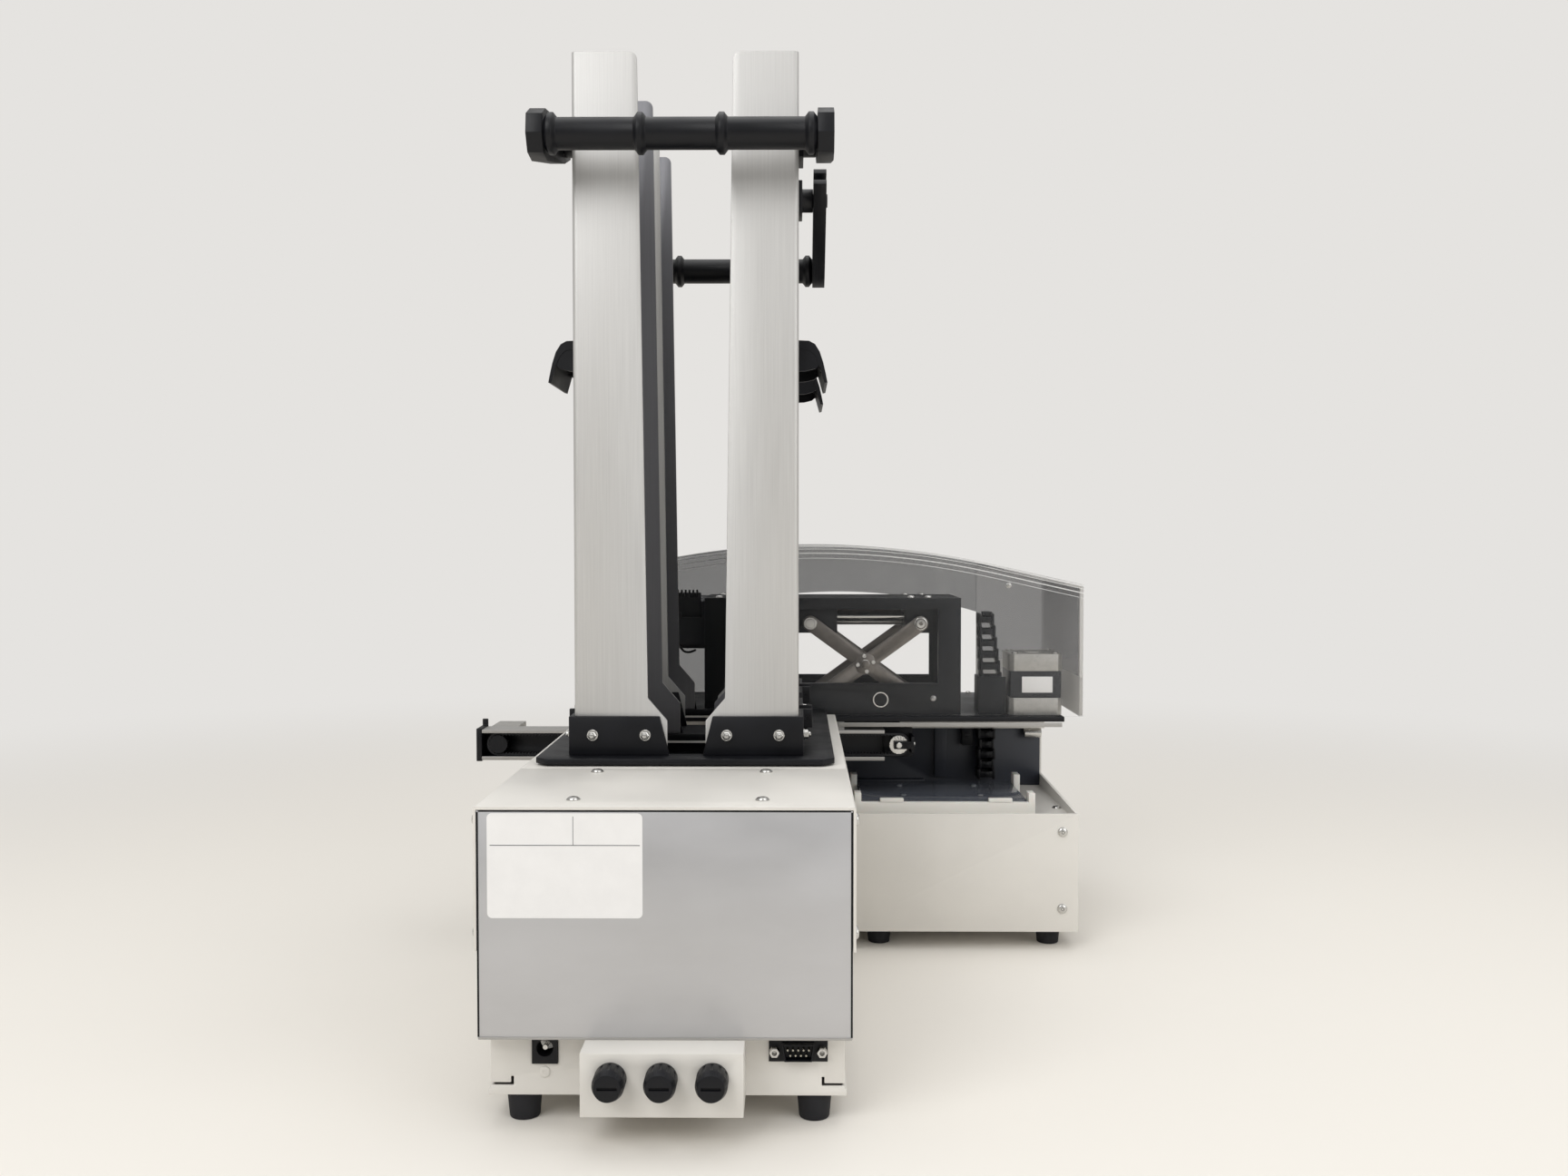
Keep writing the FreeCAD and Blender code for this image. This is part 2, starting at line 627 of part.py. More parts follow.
def rubber_feet():
    """Eight tapered feet with a screw recess, four under each unit."""
    places = [
        (side * foot_x, row, d.foot_height)
        for side in (-1, 1) for row in (d.foot_setback, d.housing_depth - d.foot_setback)
    ]
    places += [(across, row, d.station_bottom) for across, row in station_feet]
    feet = []
    for across, row, height in places:
        foot = cone("Z", across, row, 0.0, d.foot_radius - 1.4, d.foot_radius, height, "foot")
        recess = rod("Z", across, row, -1.0, 3.6, 5.0, "foot_recess")
        feet.append(cut(foot, recess))
    return node(group(*feet), "rubber_feet")


def cover_screws():
    """Low conical-headed screws of the lid, the skirts and the station's front."""
    screws = []
    for column in screw_columns:
        for row in screw_rows:
            head = cone("Z", column, row, d.cover_top, 3.4, 2.0, 1.8, "screw_head")
            shank = rod("Z", column, row, d.cover_top - 4.0, 1.5, 4.0, "screw_shank")
            screws.append(join(head, shank))
    for side in (-1, 1):
        for height in (104.0, 163.0):
            face = half_cover if side > 0 else -half_cover - 1.8
            sizes = (3.4, 2.0) if side > 0 else (2.0, 3.4)
            screws.append(cone("X", face, 7.0, height, sizes[0], sizes[1], 1.8, "side_screw"))
    for height in (31.0, 89.0):
        screws.append(cone("Y", d.station_right - 12.0, station_front - 1.8, height, 2.0, 3.4, 1.8,
                           "front_screw"))
    screws.append(cone("Z", d.station_right - 6.5, rail_near - 2.0, d.station_shelf, 3.4, 2.0, 1.8, "shelf_screw"))
    return node(group(*screws), "cover_screws")


def controller_board():
    board = block((-80.0, 60.0), (24.0, 110.0), (24.0, 25.6), "board")
    parts = [
        block((-70.0, -52.0), (40.0, 74.0), (25.6, 38.0), "board_relay"),
        block((-30.0, -8.0), (46.0, 68.0), (25.6, 28.6), "board_chip"),
        block((10.0, 46.0), (40.0, 50.0), (25.6, 34.0), "board_socket"),
        rod("Z", 22.0, 82.0, 25.6, 8.0, 20.0, "board_capacitor"),
        rod("Z", 44.0, 82.0, 25.6, 8.0, 20.0, "board_capacitor"),
    ]
    spacers = [
        rod("Z", x, y, d.pan_floor, 3.0, 5.5, "board_spacer") for x in (-74.0, 54.0) for y in (30.0, 104.0)
    ]
    return node(join(board, *parts, *spacers), "controller_board")


# Lifters under the magazines, each raised by its own spiral cam

magazines = (("near", near_centre, 1), ("far", far_centre, -1))
hub_length = 6.0
cam_facets = 64


def cam(name, centre, motor_side):
    """Spiral cam: its follower rises by the same amount for each degree of turn."""
    start, travel, turn = float(d.cam_start), float(d.lift_travel), float(d.cam_turn)
    points = []
    for step in range(cam_facets):
        angle = 360.0 * step / cam_facets
        if angle <= turn:
            reach = start + travel * angle / turn
        else:
            reach = start + travel * (360.0 - angle) / (360.0 - turn)
        points.append(Vector(-reach * math.sin(math.radians(angle)), 0,
                             reach * math.cos(math.radians(angle))))
    pitch_line = Part.makePolygon(points + points[:1])
    profile = pitch_line.makeOffset2D(-float(d.follower_radius + d.running_gap))
    half = float(d.cam_thickness) / 2
    disc = Part.Face(profile).extrude(Vector(0, 2 * half, 0))
    disc.translate(Vector(0, -half, 0))
    shaft = Part.makeCylinder(4.0, half + 18.0, Vector(0, 0, 0), Vector(0, motor_side, 0))
    hub = Part.makeCylinder(6.0, half + hub_length, Vector(0, 0, 0), Vector(0, motor_side, 0))
    solid = disc.fuse([shaft, hub]).removeSplitter()
    feature = document.addObject("Part::Feature", "cam")
    feature.Shape = solid
    return node(put(feature, 0, centre, d.cam_axle), name + "_cam")


def cam_motors():
    """Geared motors on their upright plates, one for each cam, as solids to be grouped."""
    motors = []
    for name, centre, side in magazines:
        near_face = centre + side * (d.cam_thickness / 2 + 8.0)
        far_face = near_face + side * 3.0
        ends = (near_face, far_face) if side > 0 else (far_face, near_face)
        plate = block((-22.0, 22.0), ends, (d.pan_floor, d.cam_axle + 22.0), "motor_plate")
        back = far_face + side * 22.0
        ends = (far_face, back) if side > 0 else (back, far_face)
        gearbox = rod("Y", 0, ends[0], d.cam_axle, 18.0, 22.0, "gearbox")
        last = back + side * 18.0
        ends = (back, last) if side > 0 else (last, back)
        can = rod("Y", 0, ends[0], d.cam_axle, 15.0, 18.0, "motor_can")
        low = near_face - 1.0 if side > 0 else near_face - 12.0
        bore = rod("Y", 0, low, d.cam_axle, 4.0 + d.bore_gap, 13.0, "bore")
        motors.append(cut(join(plate, gearbox, can), bore))
    return motors


rod_offset_x = 36.0
rod_offset_y = 12.0
lifter_rod = 3.0


def lifter(name, centre, side):
    """Lift plate with two guide rods and the forked follower that rides on the cam."""
    low = d.lifter_top - 4.0
    plate = block((-50.0, 50.0), (centre - 22.0, centre + 22.0), (low, d.lifter_top), "lift_plate")
    row = centre - side * rod_offset_y
    rods = [rod("Z", x * rod_offset_x, row, low - 70.0, lifter_rod, 71.0, "lift_rod") for x in (-1, 1)]
    axle = d.cam_axle + d.cam_start
    inner = d.cam_thickness / 2 + d.running_gap
    cheeks = [
        block((-3.5, 3.5), ends, (axle - 3.0, low + 1.0), "fork_cheek")
        for ends in ((centre - inner - 3.0, centre - inner), (centre + inner, centre + inner + 3.0))
    ]
    roller = rod("Y", 0, centre - d.cam_thickness / 2, axle, d.follower_radius, d.cam_thickness, "roller")
    pin = rod("Y", 0, centre - inner - 3.0, axle, 2.0, 2 * inner + 6.0, "roller_pin")
    return node(join(plate, *rods, *cheeks, roller, pin), name + "_lifter")


def lifter_guides():
    guides = []
    for name, centre, side in magazines:
        row = centre - side * rod_offset_y
        foot = block((-42.0, 42.0), (row - 6.0, row + 6.0), (d.pan_floor, d.pan_floor + 3.0), "guide_foot")
        posts = [
            block((x * rod_offset_x - 6.0, x * rod_offset_x + 6.0), (row - 6.0, row + 6.0),
                  (d.pan_floor, 118.0), "guide_post") for x in (-1, 1)
        ]
        bores = [rod("Z", x * rod_offset_x, row, 52.0, lifter_rod + d.bore_gap, 70.0, "guide_bore")
                 for x in (-1, 1)]
        guides.append(cut(join(foot, *posts), *bores))
    return node(group(*guides), "lifter_guides")


# Magazines

plate_low = d.cover_top + d.deck_plate_lift
plate_top = plate_low + d.deck_plate_sheet
half_channel = d.channel_width / 2
half_depth = d.channel_depth / 2
channel_top = plate_top + d.channel_height


def magazine_base_plate():
    """Black plate with cut corners on low pads, open under both magazines."""
    half = d.deck_plate_width / 2
    corner = d.deck_plate_chamfer
    near = deck_plate_front
    outline = [
        (-half + corner, near), (half - corner, near), (half, near + corner), (half, d.housing_depth),
        (-half, d.housing_depth), (-half, near + corner),
    ]
    plate = prism("XY", outline, plate_low, plate_top, "base_plate_sheet")
    pads = block((-half + 6.0, half - 6.0), (near + 6.0, d.housing_depth - 3.0),
                 (d.cover_top, plate_low), "base_plate_pads")
    windows = [
        block((-plate_room_x, plate_room_x), (centre - plate_room_y, centre + plate_room_y),
              (d.cover_top - 1.0, plate_top + 1.0), "plate_window")
        for _, centre, _ in magazines
    ]
    return node(cut(join(plate, pads), *windows), "magazine_base_plate")


def channel(name, centre, side):
    """One bent side of a magazine: a wall with two flanges whose inner edges taper and flare."""
    wall = side * half_channel
    inner_wall = side * (half_channel - d.channel_sheet)
    reach = side * (half_channel - d.flange_foot)
    inside = half_depth - d.channel_sheet
    outline = [
        (wall, -half_depth), (wall, half_depth), (reach, half_depth), (reach, inside),
        (inner_wall, inside), (inner_wall, -inside), (reach, -inside), (reach, -half_depth),
    ]
    if side > 0:
        outline.reverse()
    body = new_body("channel", 0, centre, plate_top)
    pad(body, "XY", outline, d.channel_height)
    over = d.channel_height + 5.0
    trim = [
        (reach - side * 5.0, d.foot_flare_low), (reach, d.foot_flare_low),
        (side * (half_channel - d.flange_low), d.foot_flare_high),
        (side * (half_channel - d.flange_top), d.channel_height),
        (side * (half_channel - d.flange_top), over), (reach - side * 5.0, over),
    ]
    pocket(body, "XZ", trim, d.channel_depth * 2 + 10.0)
    slot = [(-9.0, 3.0), (9.0, 3.0), (9.0, 20.0), (-9.0, 20.0)]
    pocket(body, "YZ", slot, d.channel_width * 2 + 10.0)
    round_edges(body, d.channel_bend, lambda middle, along: abs(along.z) > 0.99
                and abs(abs(middle.x) - float(half_channel)) < 0.01
                and abs(abs(middle.y) - float(half_depth)) < 0.01)
    inner_top = float(half_channel - d.flange_top)
    round_edges(body, 5.0, lambda middle, along: abs(along.y) > 0.99
                and abs(abs(middle.x) - inner_top) < 0.01
                and abs(middle.z - float(d.channel_height)) < 0.01)
    word = "left" if side < 0 else "right"
    return node(body, "%s_%s_channel" % (name, word))


latch_axle_x = 75.3
latch_axle_z = 18.0
latch_pin_radius = 1.5


def foot_brackets(name, centre):
    """Two black angle brackets that wrap the channels' feet and carry the latches."""
    pieces = []
    for side in (-1, 1):
        outer = side * (half_channel + d.bracket_sheet)
        inner = outer - side * d.bracket_reach
        depth = half_depth + d.bracket_sheet
        face = [
            (outer, 0.0), (outer, d.bracket_height), (inner + side * d.bracket_slant, d.bracket_height),
            (inner, 0.0),
        ]
        if side > 0:
            face.reverse()
        body = new_body("bracket", 0, centre, plate_top)
        pad(body, "XZ", face, depth * 2, both_ways=True)
        hollow = [(outer - side * 200.0, -half_depth), (side * half_channel, -half_depth),
                  (side * half_channel, half_depth), (outer - side * 200.0, half_depth)]
        feature = body.newObject("PartDesign::Pocket", "hollow")
        feature.Profile = sketch(body, "XY", hollow)
        bind(feature, "Length", d.bracket_height * 2 + 10.0)
        feature.Midplane = True
        body.Tip = feature
        pocket(body, "YZ", [(-9.0, 3.0), (9.0, 3.0), (9.0, 30.0), (-9.0, 30.0)], 400.0)
        ears = [
            block((min(side * 72.3, side * 78.3), max(side * 72.3, side * 78.3)), ends,
                  (plate_top + 12.0, plate_top + 24.0), "latch_ear")
            for ends in ((centre - 12.0, centre - 9.0), (centre + 9.0, centre + 12.0))
        ]
        axle = rod("Y", side * latch_axle_x, centre - 13.0, plate_top + latch_axle_z,
                   latch_pin_radius + d.bore_gap, 26.0, "latch_bore")
        pieces.append(cut(join(body, *ears), axle))
    return node(group(*pieces), name + "_foot_brackets")


def latch(name, centre, side):
    """Sprung pawl that reaches through the channel and holds the lowest plate."""
    high = plate_top + latch_axle_z
    tip = d.microplate_length / 2 - 2.6
    outline = [
        (side * (latch_axle_x + 3.0), high - 4.0), (side * (latch_axle_x + 3.0), high + 4.0),
        (side * (latch_axle_x - 3.0), high + 4.0), (side * tip, high - 10.0),
        (side * tip, high - 12.5), (side * (latch_axle_x - 2.0), high - 9.0),
    ]
    if side < 0:
        outline.reverse()
    pawl = prism("XZ", outline, centre - 6.0, centre + 6.0, "pawl")
    pin = rod("Y", side * latch_axle_x, centre - 12.0, high, latch_pin_radius, 24.0, "pawl_pin")
    word = "left" if side < 0 else "right"
    return node(join(pawl, pin), "%s_%s_latch" % (name, word))


def cup_handles(centre):
    """Cup pulls on both sides: a flat top, an outward-sloping shell, end cheeks, open below."""
    handles = []
    for side in (-1, 1):
        wall = side * half_channel
        top = d.cup_bottom + d.cup_height
        out = wall + side * d.cup_reach
        outer = [
            (wall, d.cup_bottom + 6.0), (wall, top), (wall + side * 9.0, top),
            (out, d.cup_bottom + 4.0), (out, d.cup_bottom), (out - side * 3.0, d.cup_bottom),
            (out - side * 3.4, d.cup_bottom + 4.0), (wall + side * 7.0, top - 3.0),
            (wall + side * 3.0, top - 3.0), (wall + side * 3.0, d.cup_bottom + 6.0),
        ]
        cheek = [
            (wall, d.cup_bottom + 6.0), (wall, top), (wall + side * 9.0, top), (out, d.cup_bottom + 4.0),
            (out, d.cup_bottom), (out - side * 3.0, d.cup_bottom),
        ]
        if side > 0:
            outer.reverse()
            cheek.reverse()
        half = d.cup_length / 2
        shell = prism("XZ", outer, centre - half, centre + half, "cup_shell")
        ends = [prism("XZ", cheek, centre + start, centre + start + 2.5, "cup_cheek")
                for start in (-half, half - 2.5)]
        handles.append(join(shell, *ends))
    return handles


bail_rib_places = (-76.5, -24.0, 24.0, 76.5)


def bail(name, centre, side, droop):
    """Swinging handle: two recessed arms with forked tails and a ribbed grip between them."""
    half = float(d.bail_width) / 2
    thick = float(d.bail_thickness)
    reach = float(d.bail_arm)
    grip = float(d.grip_radius)
    away = Vector(0, side * math.cos(math.radians(float(droop))), -math.sin(math.radians(float(droop))))
    across = Vector(0, -away.z, away.y)
    pieces = []
    for hand in (-1, 1):
        start = hand * half if hand < 0 else half - thick

        def spot(along, up):
            point = away * along + across * up
            return Vector(start, point.y, point.z)

        outline = [spot(-23, -8), spot(0, -12), spot(reach - 6, -15), spot(reach + 7, -11),
                   spot(reach + 11, 0), spot(reach + 7, 11), spot(reach - 6, 15), spot(0, 12),
                   spot(-23, 8), spot(-23, 3.5), spot(-15, 3.5), spot(-15, -3.5), spot(-23, -3.5)]
        plate = Part.Face(Part.makePolygon(outline + outline[:1])).extrude(Vector(thick, 0, 0))
        recess = [spot(8, -8.5), spot(reach - 14, -10.5), spot(reach - 14, 10.5), spot(8, 8.5)]
        deep = Part.Face(Part.makePolygon(recess + recess[:1])).extrude(Vector(thick * 0.55, 0, 0))
        deep.translate(Vector(-0.01 if hand < 0 else thick * 0.45 + 0.01, 0, 0))
        bore = Part.makeCylinder(5.0, thick + 4, Vector(start - 2, 0, 0), Vector(1, 0, 0))
        pieces.append(plate.cut(deep).cut(bore))
    centre_line = away * reach
    bar = Part.makeCylinder(grip, 2 * half - 2 * thick + 2,
                            Vector(-half + thick - 1, centre_line.y, centre_line.z), Vector(1, 0, 0))
    ribs = []
    for place in bail_rib_places:
        rib = Part.makeCone(grip, grip + 2.8, 2.2, Vector(place - 3.6, centre_line.y, centre_line.z),
                            Vector(1, 0, 0))
        flat = Part.makeCylinder(grip + 2.8, 2.8, Vector(place - 1.4, centre_line.y, centre_line.z),
                                 Vector(1, 0, 0))
        fall = Part.makeCone(grip + 2.8, grip, 2.2, Vector(place + 1.4, centre_line.y, centre_line.z),
                             Vector(1, 0, 0))
        ribs += [rib, flat, fall]
    solid = pieces[0].fuse([pieces[1], bar] + ribs).removeSplitter()
    feature = document.addObject("Part::Feature", "bail")
    feature.Shape = solid
    return node(put(feature, 0, centre + side * d.bail_offset, d.bail_pivot), name + "_bail")


def bail_pivots(centre):
    """Bosses screwed to a magazine's channels, with the pins that its bail turns on."""
    bosses = []
    inner = d.bail_width / 2 - d.bail_thickness - d.running_gap
    far = d.bail_width / 2 + 1.0
    for hand in (-1, 1):
        ends = (half_channel, inner) if hand > 0 else (-inner, -half_channel)
        boss = rod("X", ends[0], centre, d.bail_pivot, 8.5, ends[1] - ends[0], "pivot_boss")
        pin = rod("X", half_channel if hand > 0 else -far, centre, d.bail_pivot, 5.0 - d.bore_gap,
                  far - half_channel, "pivot_pin")
        sides = (half_channel, half_channel + 3.0) if hand > 0 else (-half_channel - 3.0, -half_channel)
        plate = block(sides, (centre - 14.0, centre + 14.0), (d.bail_pivot - 12.0, d.bail_pivot + 12.0),
                      "pivot_plate")
        bosses.append(join(boss, pin, plate))
    return bosses


# Plate track

pulley_z = d.rail_bottom + d.rail_height / 2
belt_near = rail_near + 5.0
left_pulley_x = -d.rail_left + 12.0
right_pulley_x = d.rail_right + 11.5


def track_rail():
    """Aluminium channel, open towards the magazines, with a rib along its lower lip."""
    low, high = d.rail_bottom, d.rail_bottom + d.rail_height
    near, far = rail_near, rail_near + d.rail_width
    wall = d.rail_sheet
    outline = [
        (near, low), (far, low), (far, high), (near, high), (near, high - wall), (far - wall, high - wall),
        (far - wall, low + wall), (near, low + wall),
    ]
    body = prism("YZ", outline, -d.rail_left, d.rail_right, "rail_channel")
    motor_hole = rod("Y", left_pulley_x, far - wall - 1.0, pulley_z, 5.0, wall + 2.0, "rail_hole")
    hangers = [block((x, x + 14.0), (near + 4.0, far - 4.0), (high, d.deck_bottom), "rail_hanger")
               for x in (-40.0, 92.0)]
    return node(join(cut(body, motor_hole), *hangers), "track_rail")


def track_end_cap():
    cap = block((-d.rail_left - d.end_cap, -d.rail_left), (rail_near, rail_near + d.rail_width),
                (d.rail_bottom - 1.0, d.rail_bottom + d.rail_height + 1.0), "end_cap_plate")
    fin = block((-d.rail_left - d.end_cap, -d.rail_left),
                (rail_near + d.rail_width, rail_near + d.rail_width + 2.0),
                (d.rail_bottom - 1.0, d.rail_bottom + d.rail_height + 6.0), "end_cap_fin")
    return node(join(cap, fin), "track_end_cap")


def idler_bracket():
    """Black fork that carries the right-hand pulley, with a bar across its near side."""
    low, high = d.rail_bottom, d.rail_bottom + d.rail_height
    far = rail_near + d.rail_width
    back = block((d.rail_right, right_pulley_x + 12.0), (far - 4.0, far), (low, high), "fork_back")
    post = block((right_pulley_x + 9.6, right_pulley_x + 12.0), (rail_near, far), (low + 5.0, high - 5.0),
                 "fork_post")
    bar = block((right_pulley_x - 4.0, right_pulley_x + 12.0), (rail_near, rail_near + 2.5),
                (pulley_z - 3.0, pulley_z + 3.0), "fork_bar")
    pin = rod("Y", right_pulley_x, rail_near, pulley_z, 2.0, d.rail_width - 1.0, "fork_pin")
    return node(join(back, post, bar, pin), "idler_bracket")


def track_belt():
    """Belt loop round both pulleys."""
    inner = d.pulley_radius + 0.1
    outer = inner + d.belt_thickness
    solids = []
    for radius, reach in ((outer, belt_near), (inner, belt_near - 1.0)):
        width = d.belt_width if reach is belt_near else d.belt_width + 2.0
        straight = block((left_pulley_x, right_pulley_x), (reach, reach + width),
                         (pulley_z - radius, pulley_z + radius), "belt_run")
        ends = [rod("Y", x, reach, pulley_z, radius, width, "belt_end")
                for x in (left_pulley_x, right_pulley_x)]
        solids.append(join(straight, *ends))
    return node(cut(solids[0], solids[1]), "track_belt")


def pulleys():
    """Flangeless toothed pulleys: the left one on the motor's shaft, the right one on its pin."""
    for label, across, bore in (("drive_pulley", left_pulley_x, 0), ("idler_pulley", right_pulley_x, 2.0)):
        wheel = rod("Y", across, belt_near - 1.2, pulley_z, d.pulley_radius - 0.2, d.belt_width + 2.4, "wheel")
        teeth = []
        for step in range(16):
            turn = 22.5 * step
            reach = d.pulley_radius + 0.1
            teeth.append(rod("Y", across + reach * cosine(turn), belt_near - 2.0,
                             pulley_z + reach * sine(turn), 0.7, d.belt_width + 4.0, "tooth_gap"))
        if bore:
            node(cut(wheel, *teeth, rod("Y", across, belt_near - 3.0, pulley_z, bore + d.bore_gap, 14.0,
                                        "wheel_bore")), label)
        else:
            shaft = rod("Y", across, belt_near, pulley_z, 2.5, d.rail_width - 1.0, "wheel_shaft")
            node(join(cut(wheel, *teeth), shaft), label)


def track_motor():
    far = rail_near + d.rail_width
    body = block((left_pulley_x - 11.0, left_pulley_x + 11.0), (far, far + 40.0),
                 (pulley_z - 11.0, pulley_z + 11.0), "track_motor_body")
    bore = rod("Y", left_pulley_x, far - 1.0, pulley_z, 2.5 + d.bore_gap, 8.0, "track_motor_bore")
    return cut(body, bore)


def plate_carriage():
    """Open tray with a nest for each magazine, and the clamp that grips the lower belt run."""
    low, high = d.tray_bottom, d.tray_bottom + d.tray_sheet
    half = plate_room_x + 1.6
    tray_near = near_centre - plate_room_y - 2.0
    tray_far = rail_near - 5.0
    sheet_part = block((-half, half), (tray_near, tray_far), (low, high), "tray_sheet")
    windows = [block((-54.0, 54.0), (centre - 30.0, centre + 30.0), (low - 1.0, high + 1.0), "tray_window")
               for _, centre, _ in magazines]
    corners = []
    for _, centre, _ in magazines:
        for side in (-1, 1):
            for end in (-1, 1):
                x = side * (plate_room_x + 0.1)
                y = centre + end * (plate_room_y - 6.0)
                ends = (x, x + 1.5) if side > 0 else (x - 1.5, x)
                corners.append(block(ends, (y - 6.0, y + 6.0), (high, high + 5.0), "tray_corner"))
    belt_floor = pulley_z - d.pulley_radius - 0.1
    arm = block((-half, -half + 16.0), (tray_far - 1.0, belt_near + d.belt_width),
                (belt_floor + d.running_gap, high + 4.0), "tray_arm")
    return node(join(cut(sheet_part, *windows), *corners, arm), "plate_carriage")


# Plate station behind the stacker

deck_top = d.deck_bottom + d.deck_sheet


def station_base():
    """Folded housing: shelf in front, tall part behind, a rim, a lip and the beam under the deck."""
    left, right = d.station_left, d.station_right
    rear_left = -d.station_rear_left
    behind_rail = rail_near + d.rail_width + 42.0
    outline = [
        (left, station_front), (right, station_front), (right, station_back),
        (rear_left, station_back), (rear_left, behind_rail), (left, behind_rail),
    ]
    wall = d.station_sheet
    hollow = [
        (left + wall, station_front + wall), (right - wall, station_front + wall),
        (right - wall, station_back - wall), (rear_left + wall, station_back - wall),
        (rear_left + wall, behind_rail + wall), (left + wall, behind_rail + wall),
    ]
    lower = prism("XY", outline, d.station_bottom, d.station_shelf, "station_lower")
    lower_room = prism("XY", hollow, d.station_bottom + wall, d.station_shelf - wall, "station_lower_room")
    upper = block((rear_left, right), (shelf_back, station_back), (d.station_shelf, d.deck_bottom),
                  "station_upper")
    upper_room = block((rear_left + wall, right - wall), (shelf_back + wall, station_back - wall),
                       (d.station_shelf - 2 * wall, d.deck_bottom - wall), "station_upper_room")
    lip = block((left, right), (station_front, station_front + 3.0), (d.station_shelf, d.station_lip),
                "station_lip_strip")
    rim_points = [(station_front, d.station_shelf), (shelf_back, d.station_shelf),
                  (shelf_back, d.station_rim), (station_front, d.station_lip)]
    rim = prism("YZ", rim_points, right - 2.0, right, "station_rim_strip")
    beam = block((left, right), (shelf_back - d.beam_depth, shelf_back),
                 (d.deck_bottom - d.beam_drop, d.deck_bottom), "station_beam")
    feet_pads = [block((x - 12.0, x + 12.0), (y - 12.0, y + 12.0), (d.station_bottom, d.station_bottom + 1.0),
                       "foot_pad") for x, y in station_feet]
    housing = cut(join(lower, upper), lower_room, upper_room, label="station_housing")
    return node(join(housing, lip, rim, beam, *feet_pads), "station_base")


def bay_wall():
    """Dark wall at the back of the bay with an upright bar and a low ledge."""
    wall = block((d.station_left, d.station_right - 2.0), (bay_wall_front, shelf_back),
                 (d.station_shelf, d.deck_bottom - d.beam_drop), "wall_sheet")
    bar = block((187.0, 197.0), (bay_wall_front - 6.0, bay_wall_front), (d.station_shelf + 8.0, 147.6),
                "wall_bar")
    ledge = block((d.station_left, 178.0), (bay_wall_front - 8.0, bay_wall_front),
                  (d.station_shelf, d.station_shelf + 6.0), "wall_ledge")
    return node(join(wall, bar, ledge), "bay_wall")


def plate_nest():
    """Raised nest for one microplate, with a front rail and locating studs."""
    half_x = d.microplate_length / 2
    half_y = d.microplate_width / 2
    x, y = d.nest_centre, nest_middle
    table = block((x - half_x, x + half_x), (y - half_y + 4.0, y + half_y),
                  (d.station_shelf, d.station_shelf + 10.0), "nest_table")
    top = block((x - half_x + 1.0, x + half_x - 1.0), (y - half_y + 4.0, y + half_y - 1.0),
                (d.station_shelf + 10.0, d.station_shelf + 12.5), "nest_top")
    studs = [rod("Z", x + dx, y + dy, d.station_shelf + 12.0, 2.2, 2.2, "nest_stud")
             for dx in (-30.0, 30.0) for dy in (-22.0, 20.0)]
    return node(join(table, top, *studs), "plate_nest")


def nest_guides():
    """Off-white rail along the nest's near side and the corner guides round it."""
    half_x = d.microplate_length / 2
    near = nest_middle - d.microplate_width / 2
    far = nest_middle + d.microplate_width / 2
    x = d.nest_centre
    base = d.station_shelf
    rail = block((x - half_x, x + half_x), (near - 1.0, near + 4.0), (base, base + 11.0), "nest_rail")
    pieces = [rail]
    for side in (-1, 1):
        edge = x + side * half_x
        for start, end, tall in ((near - 1.0, near + 12.0, 18.0), (far - 14.0, far, 20.0)):
            ends = (edge, edge + 5.0) if side > 0 else (edge - 5.0, edge)
            wall_piece = block(ends, (start, end), (base, base + tall), "guide_wall")
            pieces.append(wall_piece)
    return node(join(*pieces), "nest_guides")


def station_deck():
    """Black deck plate with the slot that the lift works through."""
    plate = block((-d.station_rear_left, d.deck_right), (deck_front, station_back),
                  (d.deck_bottom, deck_top), "deck_sheet_part")
    slot = block((64.0, 176.0), (frame_front + 6.5, frame_front + d.frame_depth - 6.5),
                 (d.deck_bottom - 1.0, deck_top + 1.0), "deck_slot")
    return node(cut(plate, slot), "station_deck")


# Scissor lift

lift_back = frame_front + d.frame_depth
front_arm = frame_front + 9.0
rear_arm = lift_back - 9.0 - d.arm_sheet
foot_x_at_rest = d.scissor_pivot_x - d.arm_length * cosine(d.arm_angle)
foot_z_at_rest = d.scissor_pivot_z - d.arm_length * sine(d.arm_angle)
block_near = front_arm + 2 * d.arm_sheet + 1.5
block_far = rear_arm - d.arm_sheet - 1.5
screw_y = (block_near + block_far) / 2
rod_rows = (screw_y - 12.0, screw_y + 12.0)
stub_depth = 7.0
block_top = d.frame_top - d.frame_sheet + 3.0


